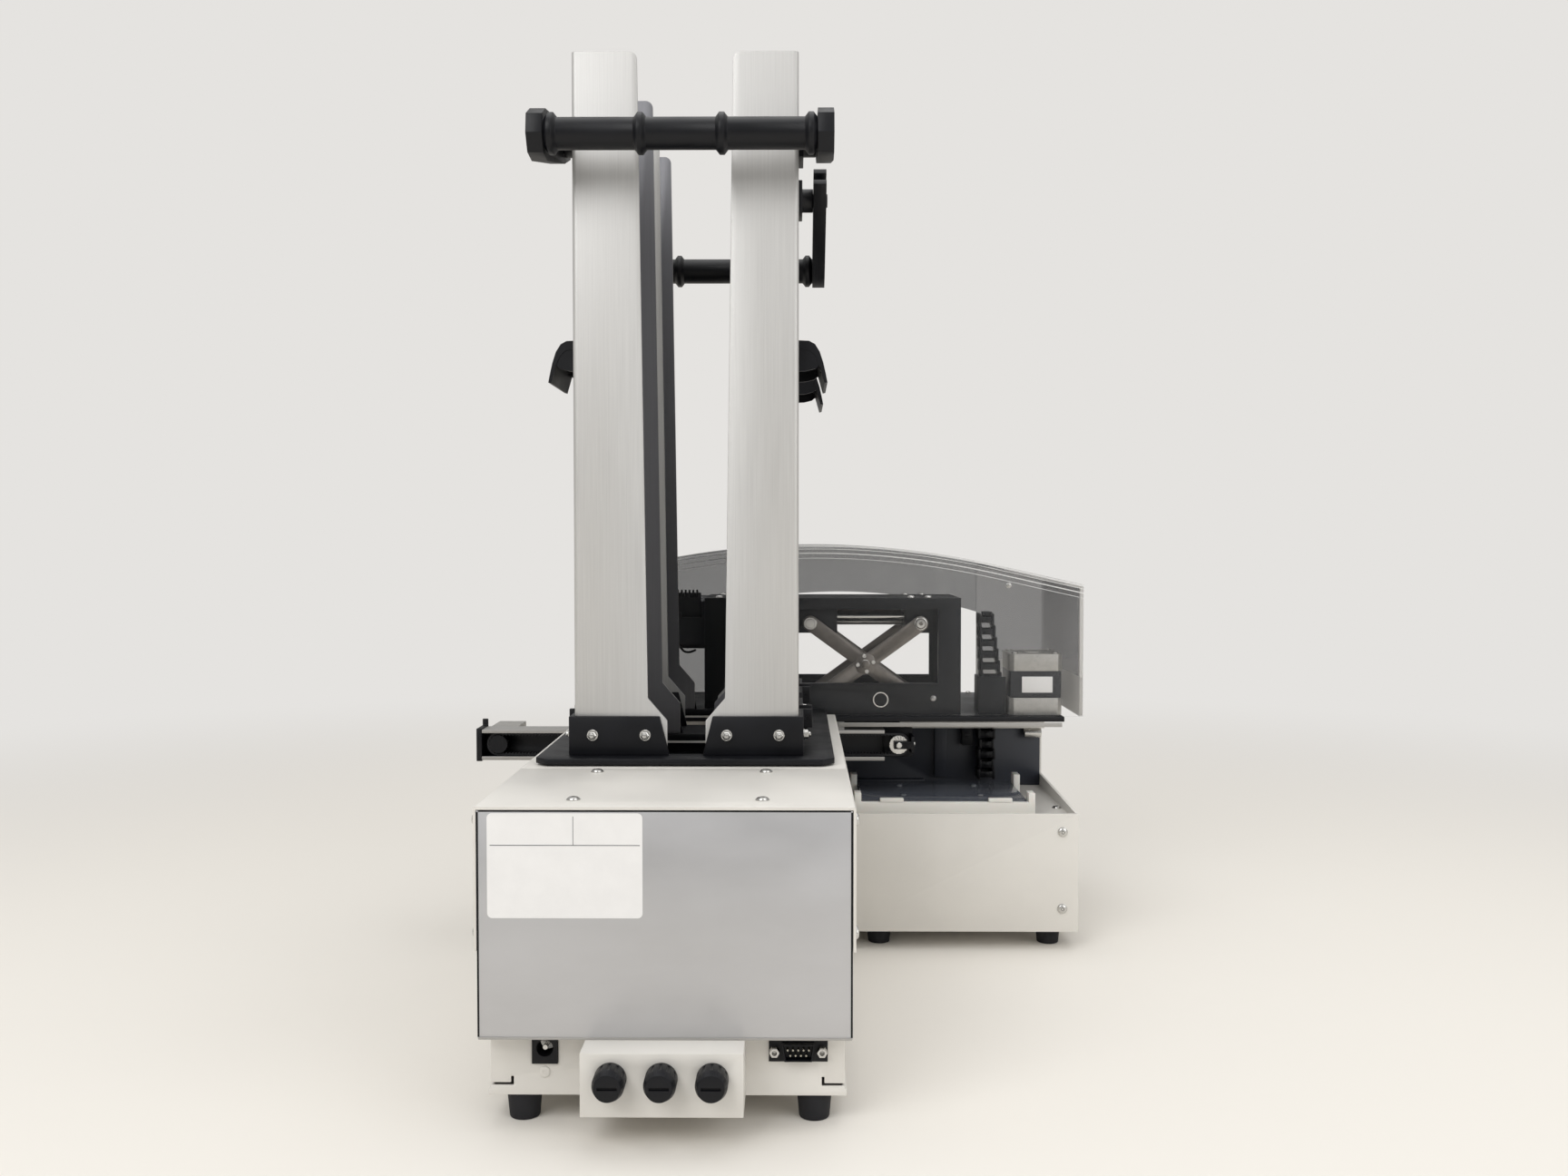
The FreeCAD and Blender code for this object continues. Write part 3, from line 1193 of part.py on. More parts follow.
def lift_frame():
    """Black portal frames front and back, joined by a top plate, with the fixed pivot block."""
    left, right = -d.frame_left, d.frame_right
    portals = []
    for start in (frame_front, lift_back - 6.0):
        ends = (start, start + 6.0)
        outside = block((left, right), ends, (deck_top, d.frame_top), "portal")
        inside = block((left + 17.0, right - 18.0), (start - 1.0, start + 7.0),
                       (deck_top + 25.0, d.frame_top - d.frame_sheet), "portal_window")
        hole = rod("Y", right - 64.0, start - 1.0, deck_top + 12.0, 5.4, 8.0, "portal_hole")
        small = rod("Y", right - 22.0, start - 1.0, deck_top + 13.0, 1.6, 8.0, "portal_hole")
        portals.append(cut(outside, inside, hole, small))
    top = block((left, right), (frame_front, lift_back), (block_top, d.frame_top), "frame_top_plate")
    sides = [block((x, x + 6.0), (frame_front, lift_back), (deck_top, d.frame_top), "frame_side")
             for x in (left, right - 6.0)]
    motor_bore = rod("X", left - 1.0, screw_y, d.scissor_pivot_z, 11.1, 8.0, "pilot_bore")
    fixed = block((d.scissor_pivot_x - 12.0, d.scissor_pivot_x + 10.0), (block_near, block_far),
                  (d.scissor_pivot_z - 8.0, block_top), "fixed_block")
    pins = [rod("Y", d.scissor_pivot_x, y, d.scissor_pivot_z, d.pivot_radius + d.bore_gap,
                stub_depth + 2.0, "pivot_bore")
            for y in (block_near - 1.0, block_far - stub_depth - 1.0)]
    screw_bore = rod("X", d.scissor_pivot_x - 13.0, screw_y, d.scissor_pivot_z,
                     d.screw_radius + d.bore_gap, 24.0, "screw_bore")
    return node(cut(join(*portals, top, *sides, fixed), motor_bore, *pins, screw_bore), "lift_frame")


def guide_rods():
    start = -d.frame_left + 6.0
    rods = [rod("X", start, row, d.scissor_pivot_z + 5.0, d.guide_rod_radius,
                d.scissor_pivot_x - 12.0 - start, "guide_rod") for row in rod_rows]
    return node(group(*rods), "guide_rods")


def lead_screw():
    """Screw with its coupling: from the motor's shaft end to the fixed block."""
    start = -d.frame_left + 1.0
    screw = rod("X", start, screw_y, d.scissor_pivot_z, d.screw_radius,
                d.scissor_pivot_x + 6.0 - start, "screw")
    coupling = rod("X", start + 1.0, screw_y, d.scissor_pivot_z, 8.0, 20.0, "coupling")
    slit = block((start + 9.0, start + 10.2), (screw_y - 9.0, screw_y + 4.0),
                 (d.scissor_pivot_z - 9.0, d.scissor_pivot_z + 9.0), "coupling_slit")
    return node(join(cut(coupling, slit), screw), "lead_screw")


def sliding_block():
    """Block that the screw draws along the rods; the crossing arms hang from it."""
    x, z = foot_x_at_rest, d.scissor_pivot_z
    body = block((x - 10.0, x + 22.0), (block_near, block_far), (z - 8.0, block_top - 0.5), "slide_body")
    bores = [rod("X", x - 11.0, row, z + 5.0, d.guide_rod_radius + d.bore_gap, 34.0, "slide_bore")
             for row in rod_rows]
    bores.append(rod("X", x - 11.0, screw_y, z, d.screw_radius + d.bore_gap, 34.0, "slide_bore"))
    bores += [rod("Y", x, y, z, d.pivot_radius + d.bore_gap, stub_depth + 2.0, "slide_pivot_bore")
              for y in (block_near - 1.0, block_far - stub_depth - 1.0)]
    return node(cut(body, *bores), "sliding_block")


def arm_plate(start, end, y):
    """Flat link with round ends from one pivot to the other, drawn in the x z plane."""
    width, thick = float(d.arm_width), float(d.arm_sheet)
    along = end - start
    length = along.Length
    bar = Part.makeBox(length, thick, width, Vector(0, 0, -width / 2))
    ends = [Part.makeCylinder(width / 2, thick, Vector(x, 0, 0), Vector(0, 1, 0)) for x in (0, length)]
    link = bar.fuse(ends).removeSplitter()
    tilt = math.degrees(math.atan2(along.z, along.x))
    link.Placement = Placement(Vector(start.x, float(y), start.z), Rotation(Vector(0, 1, 0), -tilt))
    return link


def y_pin(place, y, length, radius=None):
    radius = float(d.pivot_radius) if radius is None else radius
    return Part.makeCylinder(radius, float(length), Vector(place.x, float(y), place.z), Vector(0, 1, 0))


fixed_pivot = Vector(float(d.scissor_pivot_x), 0, float(d.scissor_pivot_z))
slide_pivot = Vector(float(foot_x_at_rest), 0, float(d.scissor_pivot_z))
slot_foot = Vector(float(foot_x_at_rest), 0, float(foot_z_at_rest))
pinned_foot = Vector(float(d.scissor_pivot_x), 0, float(foot_z_at_rest))
cross_point = (fixed_pivot + slot_foot) * 0.5


def heads(places, y, out):
    """Low bolt heads on the outer face of a link."""
    return [y_pin(place, float(y) - (1.6 if out < 0 else 0.0), 1.6, 4.4) for place in places]


def driven_arms():
    """Outer pair of links: pinned to the fixed block, their feet run in the platform's slots."""
    thick = d.arm_sheet
    rear = rear_arm
    plates = [arm_plate(fixed_pivot, slot_foot, front_arm), arm_plate(fixed_pivot, slot_foot, rear)]
    stub = float(block_near - front_arm) + stub_depth
    pins = [y_pin(fixed_pivot, front_arm, stub), y_pin(fixed_pivot, rear + thick - stub, stub),
            y_pin(slot_foot, front_arm, rear + thick - front_arm)]
    holes = [y_pin(cross_point, front_arm - 1.0, rear - front_arm + 8.0,
                   float(d.pivot_radius + d.bore_gap))]
    tops = heads([fixed_pivot, slot_foot], front_arm, -1) + heads([fixed_pivot, slot_foot], rear + thick, 1)
    solid = plates[0].fuse(plates[1:] + pins + tops).cut(holes).removeSplitter()
    return node(made("driven_arms", solid), "driven_arms")


def crossing_arms():
    """Inner pair of links: hung from the sliding block, pinned to the platform."""
    thick, gap = d.arm_sheet, d.running_gap
    front = front_arm + thick + gap
    rear = rear_arm - thick - gap
    plates = [arm_plate(slide_pivot, pinned_foot, front), arm_plate(slide_pivot, pinned_foot, rear)]
    stub = float(block_near - front) + stub_depth
    pins = [y_pin(slide_pivot, front, stub), y_pin(slide_pivot, rear + thick - stub, stub),
            y_pin(pinned_foot, front, rear + thick - front),
            y_pin(cross_point, front_arm - 2.2, rear_arm + thick - front_arm + 4.4)]
    solid = plates[0].fuse(plates[1:] + pins).removeSplitter()
    return node(made("crossing_arms", solid), "crossing_arms")


def lift_platform():
    """Carrier plate with two lugs; the left ends of the lugs are slotted for the sliding feet."""
    low = float(foot_z_at_rest)
    near = float(block_near) + 1.0
    far = float(block_far) - 1.0
    left, right = float(foot_x_at_rest) - 9.0, float(d.scissor_pivot_x) + 7.0
    sheet_low = low - 14.0
    plate = Part.makeBox(right - left, far - near, 5.0, Vector(left, near, sheet_low))
    lugs = [Part.makeBox(right - left, 5.0, 22.0, Vector(left, y, sheet_low)) for y in (near, far - 5.0)]
    solid = plate.fuse(lugs)
    slot_right = float(foot_x_at_rest) + 40.0
    radius = float(d.pivot_radius) + 0.35
    slot = Part.makeBox(slot_right - float(foot_x_at_rest) + 6.0, far - near + 2.0, 2 * radius,
                        Vector(float(foot_x_at_rest) - 6.0, near - 1.0, low - radius))
    bore = y_pin(pinned_foot, near - 1.0, far - near + 2.0, float(d.pivot_radius + d.bore_gap))
    holder = Part.makeBox(60.0, far - near - 12.0, 8.0,
                          Vector((left + right) / 2 - 30.0, near + 6.0, sheet_low - 8.0))
    solid = solid.fuse(holder).cut([slot, bore]).removeSplitter()
    return node(made("lift_platform", solid), "lift_platform")


def square_motor(axis, middle, size, length, label):
    """Stepper body with cut corners, along X or Z."""
    x, y, z = middle
    half = size / 2
    corner = 4.0
    outline = [(-half + corner, -half), (half - corner, -half), (half, -half + corner),
               (half, half - corner), (half - corner, half), (-half + corner, half),
               (-half, half - corner), (-half, -half + corner)]
    if axis == "X":
        points = [(y + a, z + b) for a, b in outline]
        return prism("YZ", points, x, x + length, label)
    points = [(x + a, y + b) for a, b in outline]
    return prism("XY", points, z, z + length, label)


def lift_motor():
    body = square_motor("X", (-d.frame_left - 40.0, screw_y, d.scissor_pivot_z), 42.3, 40.0, "motor")
    bore = rod("X", -d.frame_left - 6.0, screw_y, d.scissor_pivot_z, d.screw_radius + d.bore_gap, 8.0, "bore")
    socket = block((-d.frame_left - 38.0, -d.frame_left - 22.0), (screw_y - 26.0, screw_y - 21.0),
                   (d.scissor_pivot_z + 4.0, d.scissor_pivot_z + 14.0), "motor_socket")
    return node(join(cut(body, bore), socket), "lift_motor")


def feed_motor():
    middle, near = 259.0, rail_near + 12.0
    body = square_motor("Z", (middle, near + 21.2, deck_top), 42.3, 49.0, "motor")
    pocket_cut = block((middle - 22.0, middle + 22.0), (near - 1.0, near + 0.8),
                       (deck_top + 14.0, deck_top + 35.0), "stack_relief")
    return node(cut(body, pocket_cut), "feed_motor")


def cable_chain():
    """Energy chain: a column of boxed links that leans and tapers, on its bracket."""
    x, y = 217.0, 398.0
    bracket = block((x - 3.0, x + 19.0), (y, y + 26.0), (deck_top, deck_top + 30.0), "chain_bracket")
    links = []
    for step in range(6):
        low = deck_top + 24.0 + 9.4 * step
        lean = 0.35 * step
        width = 17.0 - 0.9 * step
        link = block((x - 1.0 - lean, x - 1.0 - lean + width), (y + 2.0, y + 20.0), (low, low + 9.8), "link")
        eye = block((x + 1.2 - lean, x - 3.2 - lean + width), (y + 1.0, y + 21.0), (low + 3.0, low + 7.0),
                    "link_eye")
        links.append(cut(link, eye))
    return join(bracket, *links)


def bay_chain():
    """Lower run of the chain, hanging from the beam down to the nest."""
    x, y = 230.0, bay_wall_front - 16.0
    links = []
    for step in range(5):
        low = d.deck_bottom - d.beam_drop - 8.8 - 8.6 * (4 - step)
        width = 13.0 if step % 2 else 15.0
        link = block((x - width / 2, x + width / 2), (y, y + 16.0), (low, low + 8.8), "bay_link")
        eye = block((x + 1.0, x + 5.0), (y - 1.0, y + 2.0), (low + 2.5, low + 6.5), "bay_eye")
        links.append(cut(link, eye))
    return join(*links)


# Covers of the station

def arch(inset, low):
    """Outline of the clear cover in x and z, moved in by an amount, closed at a lower level."""
    left = -float(d.dome_left) + inset
    step_x = float(d.dome_step_x)
    right = float(d.dome_right) - inset
    points = [Vector(left, 0, float(d.dome_shoulder) - inset),
              Vector(float(d.dome_crown_x), 0, float(d.dome_crown) - inset),
              Vector(step_x, 0, float(d.dome_step) - inset)]
    end = Vector(right, 0, float(d.dome_end_top) - inset)
    edges = [
        Part.Arc(*points).toShape(),
        Part.makeLine(points[2], end),
        Part.makeLine(end, Vector(right, 0, low)),
        Part.makeLine(Vector(right, 0, low), Vector(left, 0, low)),
        Part.makeLine(Vector(left, 0, low), points[0]),
    ]
    return Part.Wire(edges)


def carried(wire, start, end):
    """Carry an outline in the x z plane from one y to another."""
    solid = Part.Face(wire).extrude(Vector(0, float(end) - float(start), 0))
    solid.translate(Vector(0, float(start), 0))
    return solid


def clear_dome():
    """Thin clear cover: near wall, left wall and the arched top as far as the end cap."""
    wall = float(d.dome_sheet)
    low = float(deck_top)
    near, back = float(dome_near), float(hood_near)
    outside = carried(arch(0.0, low), near, back)
    inside = carried(arch(wall, low - 5.0), near + wall, back + 1.0)
    keep_out = Part.makeBox(200.0, 400.0, 400.0, Vector(float(d.dome_step_x), near + wall, low - 1.0))
    solid = outside.cut([inside, keep_out]).removeSplitter()
    return node(made("clear_dome", solid), "clear_dome")


def dome_end_cap():
    """Pale translucent cap over the right end: sloping top and right wall."""
    wall = float(d.dome_sheet)
    low = float(deck_top)
    near, back = float(dome_near), float(station_back)
    outside = carried(arch(0.0, low), near + wall, back)
    inside = carried(arch(wall, low - 5.0), near + wall - 1.0, back - wall)
    rest = Part.makeBox(600.0, 400.0, 400.0, Vector(float(d.dome_step_x) - 600.0, near - 10.0, low - 10.0))
    solid = outside.cut([inside, rest]).removeSplitter()
    return node(made("dome_end_cap", solid), "dome_end_cap")


def smoke_hood():
    """Tinted rear half: arched top, left wall, and a back wall with a wide opening under its arch."""
    wall = float(d.dome_sheet)
    low = float(deck_top)
    start, back = float(hood_near), float(station_back)
    outside = carried(arch(0.0, low), start, back)
    inside = carried(arch(wall, low - 5.0), start - 1.0, back - wall)
    end = Part.makeBox(200.0, 400.0, 400.0, Vector(float(d.dome_step_x), start - 10.0, low - 1.0))
    window = carried(arch(44.0, low - 5.0), back - wall - 2.0, back + 2.0)
    solid = outside.cut([inside, end, window]).removeSplitter()
    return node(made("smoke_hood", solid), "smoke_hood")


base_pan()
rear_lid()
main_cover()
rear_panel()
fuse_box()
fuse_holders()
for place in (-1, 0, 1):
    fuse_cap(place)
power_inlet()
serial_connector()
rubber_feet()
cover_screws()
controller_board()
lifter_guides()
for name, centre, side in magazines:
    cam(name, centre, side)
    lifter(name, centre, side)
magazine_base_plate()
for name, centre, side in magazines:
    for hand in (-1, 1):
        channel(name, centre, hand)
        latch(name, centre, hand)
    foot_brackets(name, centre)
    node(group(*cup_handles(centre), *bail_pivots(centre - side * d.bail_offset)), name + "_handle_fittings")
bail("near", near_centre, -1, d.near_bail_droop)
bail("far", far_centre, 1, d.far_bail_droop)
track_rail()
track_end_cap()
idler_bracket()
track_belt()
pulleys()
node(group(*cam_motors(), track_motor()), "drive_motors")
plate_carriage()
station_base()
bay_wall()
plate_nest()
nest_guides()
station_deck()
lift_frame()
guide_rods()
lead_screw()
sliding_block()
driven_arms()
crossing_arms()
lift_platform()
lift_motor()
feed_motor()
node(group(cable_chain(), bay_chain()), "cable_chain")
clear_dome()
dome_end_cap()
smoke_hood()

document.recompute()
for item in document.Objects:
    if "Invalid" in item.State or "Error" in item.State:
        raise RuntimeError("%s (%s) failed: %s" % (item.Label, item.Name, item.State))
for item in nodes:
    if item.Shape.isNull() or not item.Shape.isValid():
        raise RuntimeError("%s has no valid shape" % item.Label)
os.makedirs("parts", exist_ok=True)
for item in nodes:
    item.Shape.exportStep("parts/%s.step" % item.Label)
print("%d sub-parts" % len(nodes))
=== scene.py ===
import collections
import json
import math

import bmesh
import bpy
from bpy.props import FloatProperty, FloatVectorProperty, PointerProperty
from mathutils import Matrix, Vector

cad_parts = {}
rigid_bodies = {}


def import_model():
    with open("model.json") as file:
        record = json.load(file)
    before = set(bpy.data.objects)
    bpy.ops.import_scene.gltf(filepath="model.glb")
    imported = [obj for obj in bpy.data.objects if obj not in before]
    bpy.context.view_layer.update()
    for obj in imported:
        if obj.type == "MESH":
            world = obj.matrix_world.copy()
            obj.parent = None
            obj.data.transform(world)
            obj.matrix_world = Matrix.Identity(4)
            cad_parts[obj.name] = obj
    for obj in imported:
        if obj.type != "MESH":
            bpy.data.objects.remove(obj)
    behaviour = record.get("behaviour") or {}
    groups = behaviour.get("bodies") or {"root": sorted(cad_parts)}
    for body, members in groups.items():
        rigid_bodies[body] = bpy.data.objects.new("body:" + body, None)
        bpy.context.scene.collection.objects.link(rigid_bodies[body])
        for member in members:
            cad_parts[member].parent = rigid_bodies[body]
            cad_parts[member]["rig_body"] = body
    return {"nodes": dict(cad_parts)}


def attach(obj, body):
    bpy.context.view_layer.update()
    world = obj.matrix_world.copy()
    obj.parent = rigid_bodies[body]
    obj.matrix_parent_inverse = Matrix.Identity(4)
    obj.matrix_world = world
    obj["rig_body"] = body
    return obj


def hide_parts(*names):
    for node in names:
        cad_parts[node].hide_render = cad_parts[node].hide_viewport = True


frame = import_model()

bl_info = {
    "name": "Microplate Stacker Dressing",
    "version": (1, 0, 0),
    "blender": (4, 5, 0),
    "location": "View3D > Sidebar > Stacker",
    "description": "Finishes and fittings for a two-magazine plate stacker and its station",
    "category": "Object",
}

# The drawing counts x from the stacker's centre line, y from the rear panel and z from the
# bench, in millimetres. This is its datum, seen from the part's origin.
DATUM = Vector((-54.75, -263.5, 0.0))
MM = 0.001

# Places in the drawing that several pieces share.
MAGAZINE_CENTRES = (("near", 191.5), ("far", 327.0))
DECK_TOP = 168.6
LEAD_SCREW_LEVEL = 241.0

# How far the hair lines of a brushed sheet are drawn out: up a channel, or along the track.
UPRIGHT = (1.0, 1.0, 0.012)
LEVEL = (0.012, 1.0, 1.0)

# A finish while it is mixed. Its place is what patterns read their coordinates from.
Coat = collections.namedtuple("Coat", "material tree shader place colour")


def at(x, y, z):
    """A point of the drawing, in metres from the part's origin."""
    return (DATUM + Vector((x, y, z))) * MM


def linear(code):
    """An sRGB hex colour as linear red, green and blue."""
    parts = [int(code[i:i + 2], 16) / 255 for i in (1, 3, 5)]
    return tuple(c / 12.92 if c <= 0.04045 else ((c + 0.055) / 1.055) ** 2.4 for c in parts)


def add(tree, kind, inputs=None, **settings):
    """A node with its settings, and its inputs as values or as (node, output) pairs."""
    made = tree.nodes.new("ShaderNode" + kind)
    for name, value in settings.items():
        setattr(made, name, value)
    for name, value in (inputs or {}).items():
        if isinstance(value, tuple) and value and isinstance(value[0], bpy.types.Node):
            tree.links.new(value[0].outputs[value[1]], made.inputs[name])
        else:
            made.inputs[name].default_value = value
    return made


def finish(name, colour, metallic=0.0, roughness=0.5):
    """A plain coat: a material, its tree and shader, the part's coordinates and the colour."""
    material = bpy.data.materials.new(name)
    material.use_nodes = True
    tree = material.node_tree
    shader = tree.nodes["Principled BSDF"]
    shader.inputs["Base Color"].default_value = (*colour, 1.0)
    shader.inputs["Metallic"].default_value = metallic
    shader.inputs["Roughness"].default_value = roughness
    return Coat(material, tree, shader, (add(tree, "TexCoord"), "Object"), colour)


def shade(colour, amount):
    """The same colour, darker or lighter."""
    return (*[min(1.0, c * amount) for c in colour[:3]], 1.0)


def mottle(coat, patches, dark, light, stretch=(1.0, 1.0, 1.0)):
    """Soft uneven colour: a noise of so many patches to the metre, between two depths."""
    drawn = add(coat.tree, "Mapping", {"Vector": coat.place, "Scale": stretch})
    noise = add(coat.tree, "TexNoise", {"Vector": (drawn, "Vector"), "Scale": patches,
                                        "Detail": 4.0, "Roughness": 0.55})
    ramp = add(coat.tree, "MapRange", {"Value": (noise, "Fac"), "From Min": 0.3, "From Max": 0.7})
    mix = add(coat.tree, "Mix", {"Factor": (ramp, "Result"), "A": shade(coat.colour, dark),
                                 "B": shade(coat.colour, light)}, data_type="RGBA")
    coat.tree.links.new(mix.outputs["Result"], coat.shader.inputs["Base Color"])
    return noise


def raise_surface(coat, height, depth, strength):
    """Bump from a (node, output) pair, raised by a depth in millimetres."""
    bump = add(coat.tree, "Bump", {"Height": height, "Distance": depth * MM,
                                   "Strength": strength})
    coat.tree.links.new(bump.outputs["Normal"], coat.shader.inputs["Normal"])


def relief(coat, grains, depth, strength, stretch=(1.0, 1.0, 1.0)):
    """Fine relief: a noise of so many grains to the metre."""
    drawn = add(coat.tree, "Mapping", {"Vector": coat.place, "Scale": stretch})
    noise = add(coat.tree, "TexNoise", {"Vector": (drawn, "Vector"), "Scale": grains,
                                        "Detail": 3.0})
    raise_surface(coat, (noise, "Fac"), depth, strength)


def gloss_spread(coat, noise, low, high):
    """Roughness that wanders between two values with a noise."""
    ramp = add(coat.tree, "MapRange", {"Value": (noise, "Fac"), "From Min": 0.3, "From Max": 0.7,
                                       "To Min": low, "To Max": high})
    coat.tree.links.new(ramp.outputs["Result"], coat.shader.inputs["Roughness"])


def powder_coated_steel(name, colour):
    """Baked powder on sheet steel: satin, with the orange peel of about 1.5 mm that it leaves."""
    coat = finish(name, colour, roughness=0.42)
    gloss_spread(coat, mottle(coat, patches=14.0, dark=0.95, light=1.03), 0.36, 0.5)
    relief(coat, grains=700.0, depth=0.06, strength=0.35)
    return coat.material


def satin_anodised_aluminium(name, colour):
    """Bead-blasted and clear anodised sheet: a soft metallic sheen with a speckle of 0.7 mm."""
    coat = finish(name, colour, metallic=0.85, roughness=0.4)
    cloud = mottle(coat, patches=9.0, dark=0.93, light=1.05, stretch=(1.0, 1.0, 2.5))
    gloss_spread(coat, cloud, 0.36, 0.48)
    relief(coat, grains=1400.0, depth=0.04, strength=0.3)
    return coat.material


def brushed_aluminium(name, colour, stretch):
    """Sheet brushed along its length: hair lines under 1 mm apart and a hand's breadth long."""
    coat = finish(name, colour, metallic=0.5, roughness=0.44)
    gloss_spread(coat, mottle(coat, 1300.0, dark=0.92, light=1.03, stretch=stretch), 0.42, 0.54)
    relief(coat, grains=2200.0, depth=0.02, strength=0.12, stretch=stretch)
    return coat.material


def moulded_abs(name, colour):
    """Black ABS from a spark-eroded mould: satin, with a grain of about half a millimetre."""
    coat = finish(name, colour, roughness=0.4)
    coat.shader.inputs["Specular IOR Level"].default_value = 0.28
    gloss_spread(coat, mottle(coat, patches=30.0, dark=0.85, light=1.2), 0.34, 0.48)
    relief(coat, grains=1800.0, depth=0.05, strength=0.4)
    return coat.material


def black_anodised_aluminium(name, colour):
    """Machined plate dyed black: a dull metallic sheen with faint milling lines 0.8 mm apart."""
    coat = finish(name, colour, metallic=0.2, roughness=0.42)
    coat.shader.inputs["Specular IOR Level"].default_value = 0.35
    gloss_spread(coat, mottle(coat, patches=40.0, dark=0.8, light=1.25), 0.36, 0.52)
    relief(coat, grains=1200.0, depth=0.03, strength=0.3, stretch=(0.08, 1.0, 1.0))
    return coat.material


def tumbled_steel(name, colour):
    """Stainless strip deburred in a drum: grey, softly speckled, with rounded glints."""
    coat = finish(name, colour, metallic=0.9, roughness=0.42)
    gloss_spread(coat, mottle(coat, patches=160.0, dark=0.82, light=1.15), 0.34, 0.52)
    relief(coat, grains=900.0, depth=0.05, strength=0.3)
    return coat.material


def zinc_plated_steel(name, colour):
    """Bright zinc on turned steel: nearly a mirror, with cloudy patches."""
    coat = finish(name, colour, metallic=1.0, roughness=0.25)
    gloss_spread(coat, mottle(coat, patches=120.0, dark=0.93, light=1.03), 0.2, 0.28)
    return coat.material


def moulded_rubber(name, colour):
    """Rubber from a steel mould: dull, a little dusty, with a soft grain of about 1 mm."""
    coat = finish(name, colour, roughness=0.78)
    mottle(coat, patches=60.0, dark=0.85, light=1.3)
    relief(coat, grains=900.0, depth=0.1, strength=0.4)
    return coat.material


def ribbed_rubber(name, colour):
    """Moulded neoprene belt: dull black. Its teeth are in the geometry, 2.58 mm apart."""
    coat = finish(name, colour, roughness=0.62)
    mottle(coat, patches=120.0, dark=0.8, light=1.3)
    relief(coat, grains=1500.0, depth=0.06, strength=0.35)
    return coat.material


def solder_mask(name, colour):
    """Printed circuit board: green lacquer over copper tracks about 1.5 mm apart."""
    coat = finish(name, colour, roughness=0.28)
    tracks = add(coat.tree, "TexBrick", {"Vector": coat.place, "Scale": 160.0,
                                         "Color1": shade(colour, 1.0),
                                         "Color2": shade(colour, 0.8),
                                         "Mortar": shade(colour, 1.7), "Mortar Size": 0.03})
    coat.tree.links.new(tracks.outputs["Color"], coat.shader.inputs["Base Color"])
    return coat.material


def moulded_acetal(name, colour):
    """White acetal: waxy, slightly translucent, smooth."""
    coat = finish(name, colour, roughness=0.35)
    coat.shader.inputs["Subsurface Weight"].default_value = 0.08
    coat.shader.inputs["Subsurface Scale"].default_value = 0.002
    mottle(coat, patches=25.0, dark=0.96, light=1.02)
    relief(coat, grains=1200.0, depth=0.03, strength=0.2)
    return coat.material


def see_through_sheet(name, colour, facing, grazing, roughness):
    """Acrylic, PETG or polycarbonate sheet, as solid as the first value where it faces the eye
    and as the second at its rims."""
    coat = finish(name, colour, roughness=roughness)
    rim = add(coat.tree, "LayerWeight", {"Blend": 0.35})
    cover = add(coat.tree, "MapRange", {"Value": (rim, "Facing"), "To Min": facing,
                                        "To Max": grazing})
    coat.tree.links.new(cover.outputs["Result"], coat.shader.inputs["Alpha"])
    mottle(coat, patches=7.0, dark=0.94, light=1.04)
    relief(coat, grains=14.0, depth=1.2, strength=0.25)
    return coat.material


def label_paper(name, colour):
    """Coated label stock: matte white with a very slight fibre."""
    coat = finish(name, colour, roughness=0.45)
    mottle(coat, patches=90.0, dark=0.97, light=1.01)
    return coat.material


def cast_aluminium(name, colour):
    """Die-cast end bell: pale grey, pebbled at about a millimetre."""
    coat = finish(name, colour, metallic=0.8, roughness=0.5)
    gloss_spread(coat, mottle(coat, patches=300.0, dark=0.86, light=1.08), 0.42, 0.58)
    relief(coat, grains=1000.0, depth=0.08, strength=0.4)
    return coat.material


def laminated_stack(name, colour):
    """Pressed steel laminations under black lacquer: level lines about a millimetre apart."""
    coat = finish(name, colour, metallic=0.2, roughness=0.4)
    mottle(coat, patches=60.0, dark=0.85, light=1.2)
    lines = add(coat.tree, "TexWave", {"Vector": coat.place, "Scale": 310.0, "Distortion": 0.0},
                wave_type="BANDS", bands_direction="Z")
    raise_surface(coat, (lines, "Fac"), depth=0.1, strength=0.5)
    return coat.material


class StackerColours(bpy.types.PropertyGroup):
    """The colours of the finishes"""
    powder: FloatVectorProperty(name="Powder coat", description="Off-white powder on sheet metal",
                                subtype="COLOR", default=linear("#DAD7D1"))
    panel: FloatVectorProperty(name="Rear panel", description="Satin anodised rear panel",
                               subtype="COLOR", default=linear("#C3C3C5"))
    channel: FloatVectorProperty(name="Magazine channels", description="Brushed channels",
                                 subtype="COLOR", default=linear("#C6C5C3"))
    plastic: FloatVectorProperty(name="Black plastic", description="Handles, bails and caps",
                                 subtype="COLOR", default=linear("#0A0B10"))
    anodised: FloatVectorProperty(name="Black metal", description="Black plates and frames",
                                  subtype="COLOR", default=linear("#0C0D12"))
    steel: FloatVectorProperty(name="Arm steel", description="Tumbled steel of the scissor arms",
                               subtype="COLOR", default=linear("#7D7873"))
    zinc: FloatVectorProperty(name="Zinc", description="Bright fasteners and rods",
                              subtype="COLOR", default=linear("#CBCAC7"))
    rubber: FloatVectorProperty(name="Rubber", description="Feet and belt",
                                subtype="COLOR", default=linear("#131318"))
    bay: FloatVectorProperty(name="Bay wall", description="Dark paint at the back of the bay",
                             subtype="COLOR", default=linear("#2B2F39"))
    smoke: FloatVectorProperty(name="Smoke tint", description="Tinted hood of the station",
                               subtype="COLOR", default=linear("#6E7176"))
    floor: FloatVectorProperty(name="Floor", description="Plain pale floor",
                               subtype="COLOR", default=linear("#E6E2DB"))


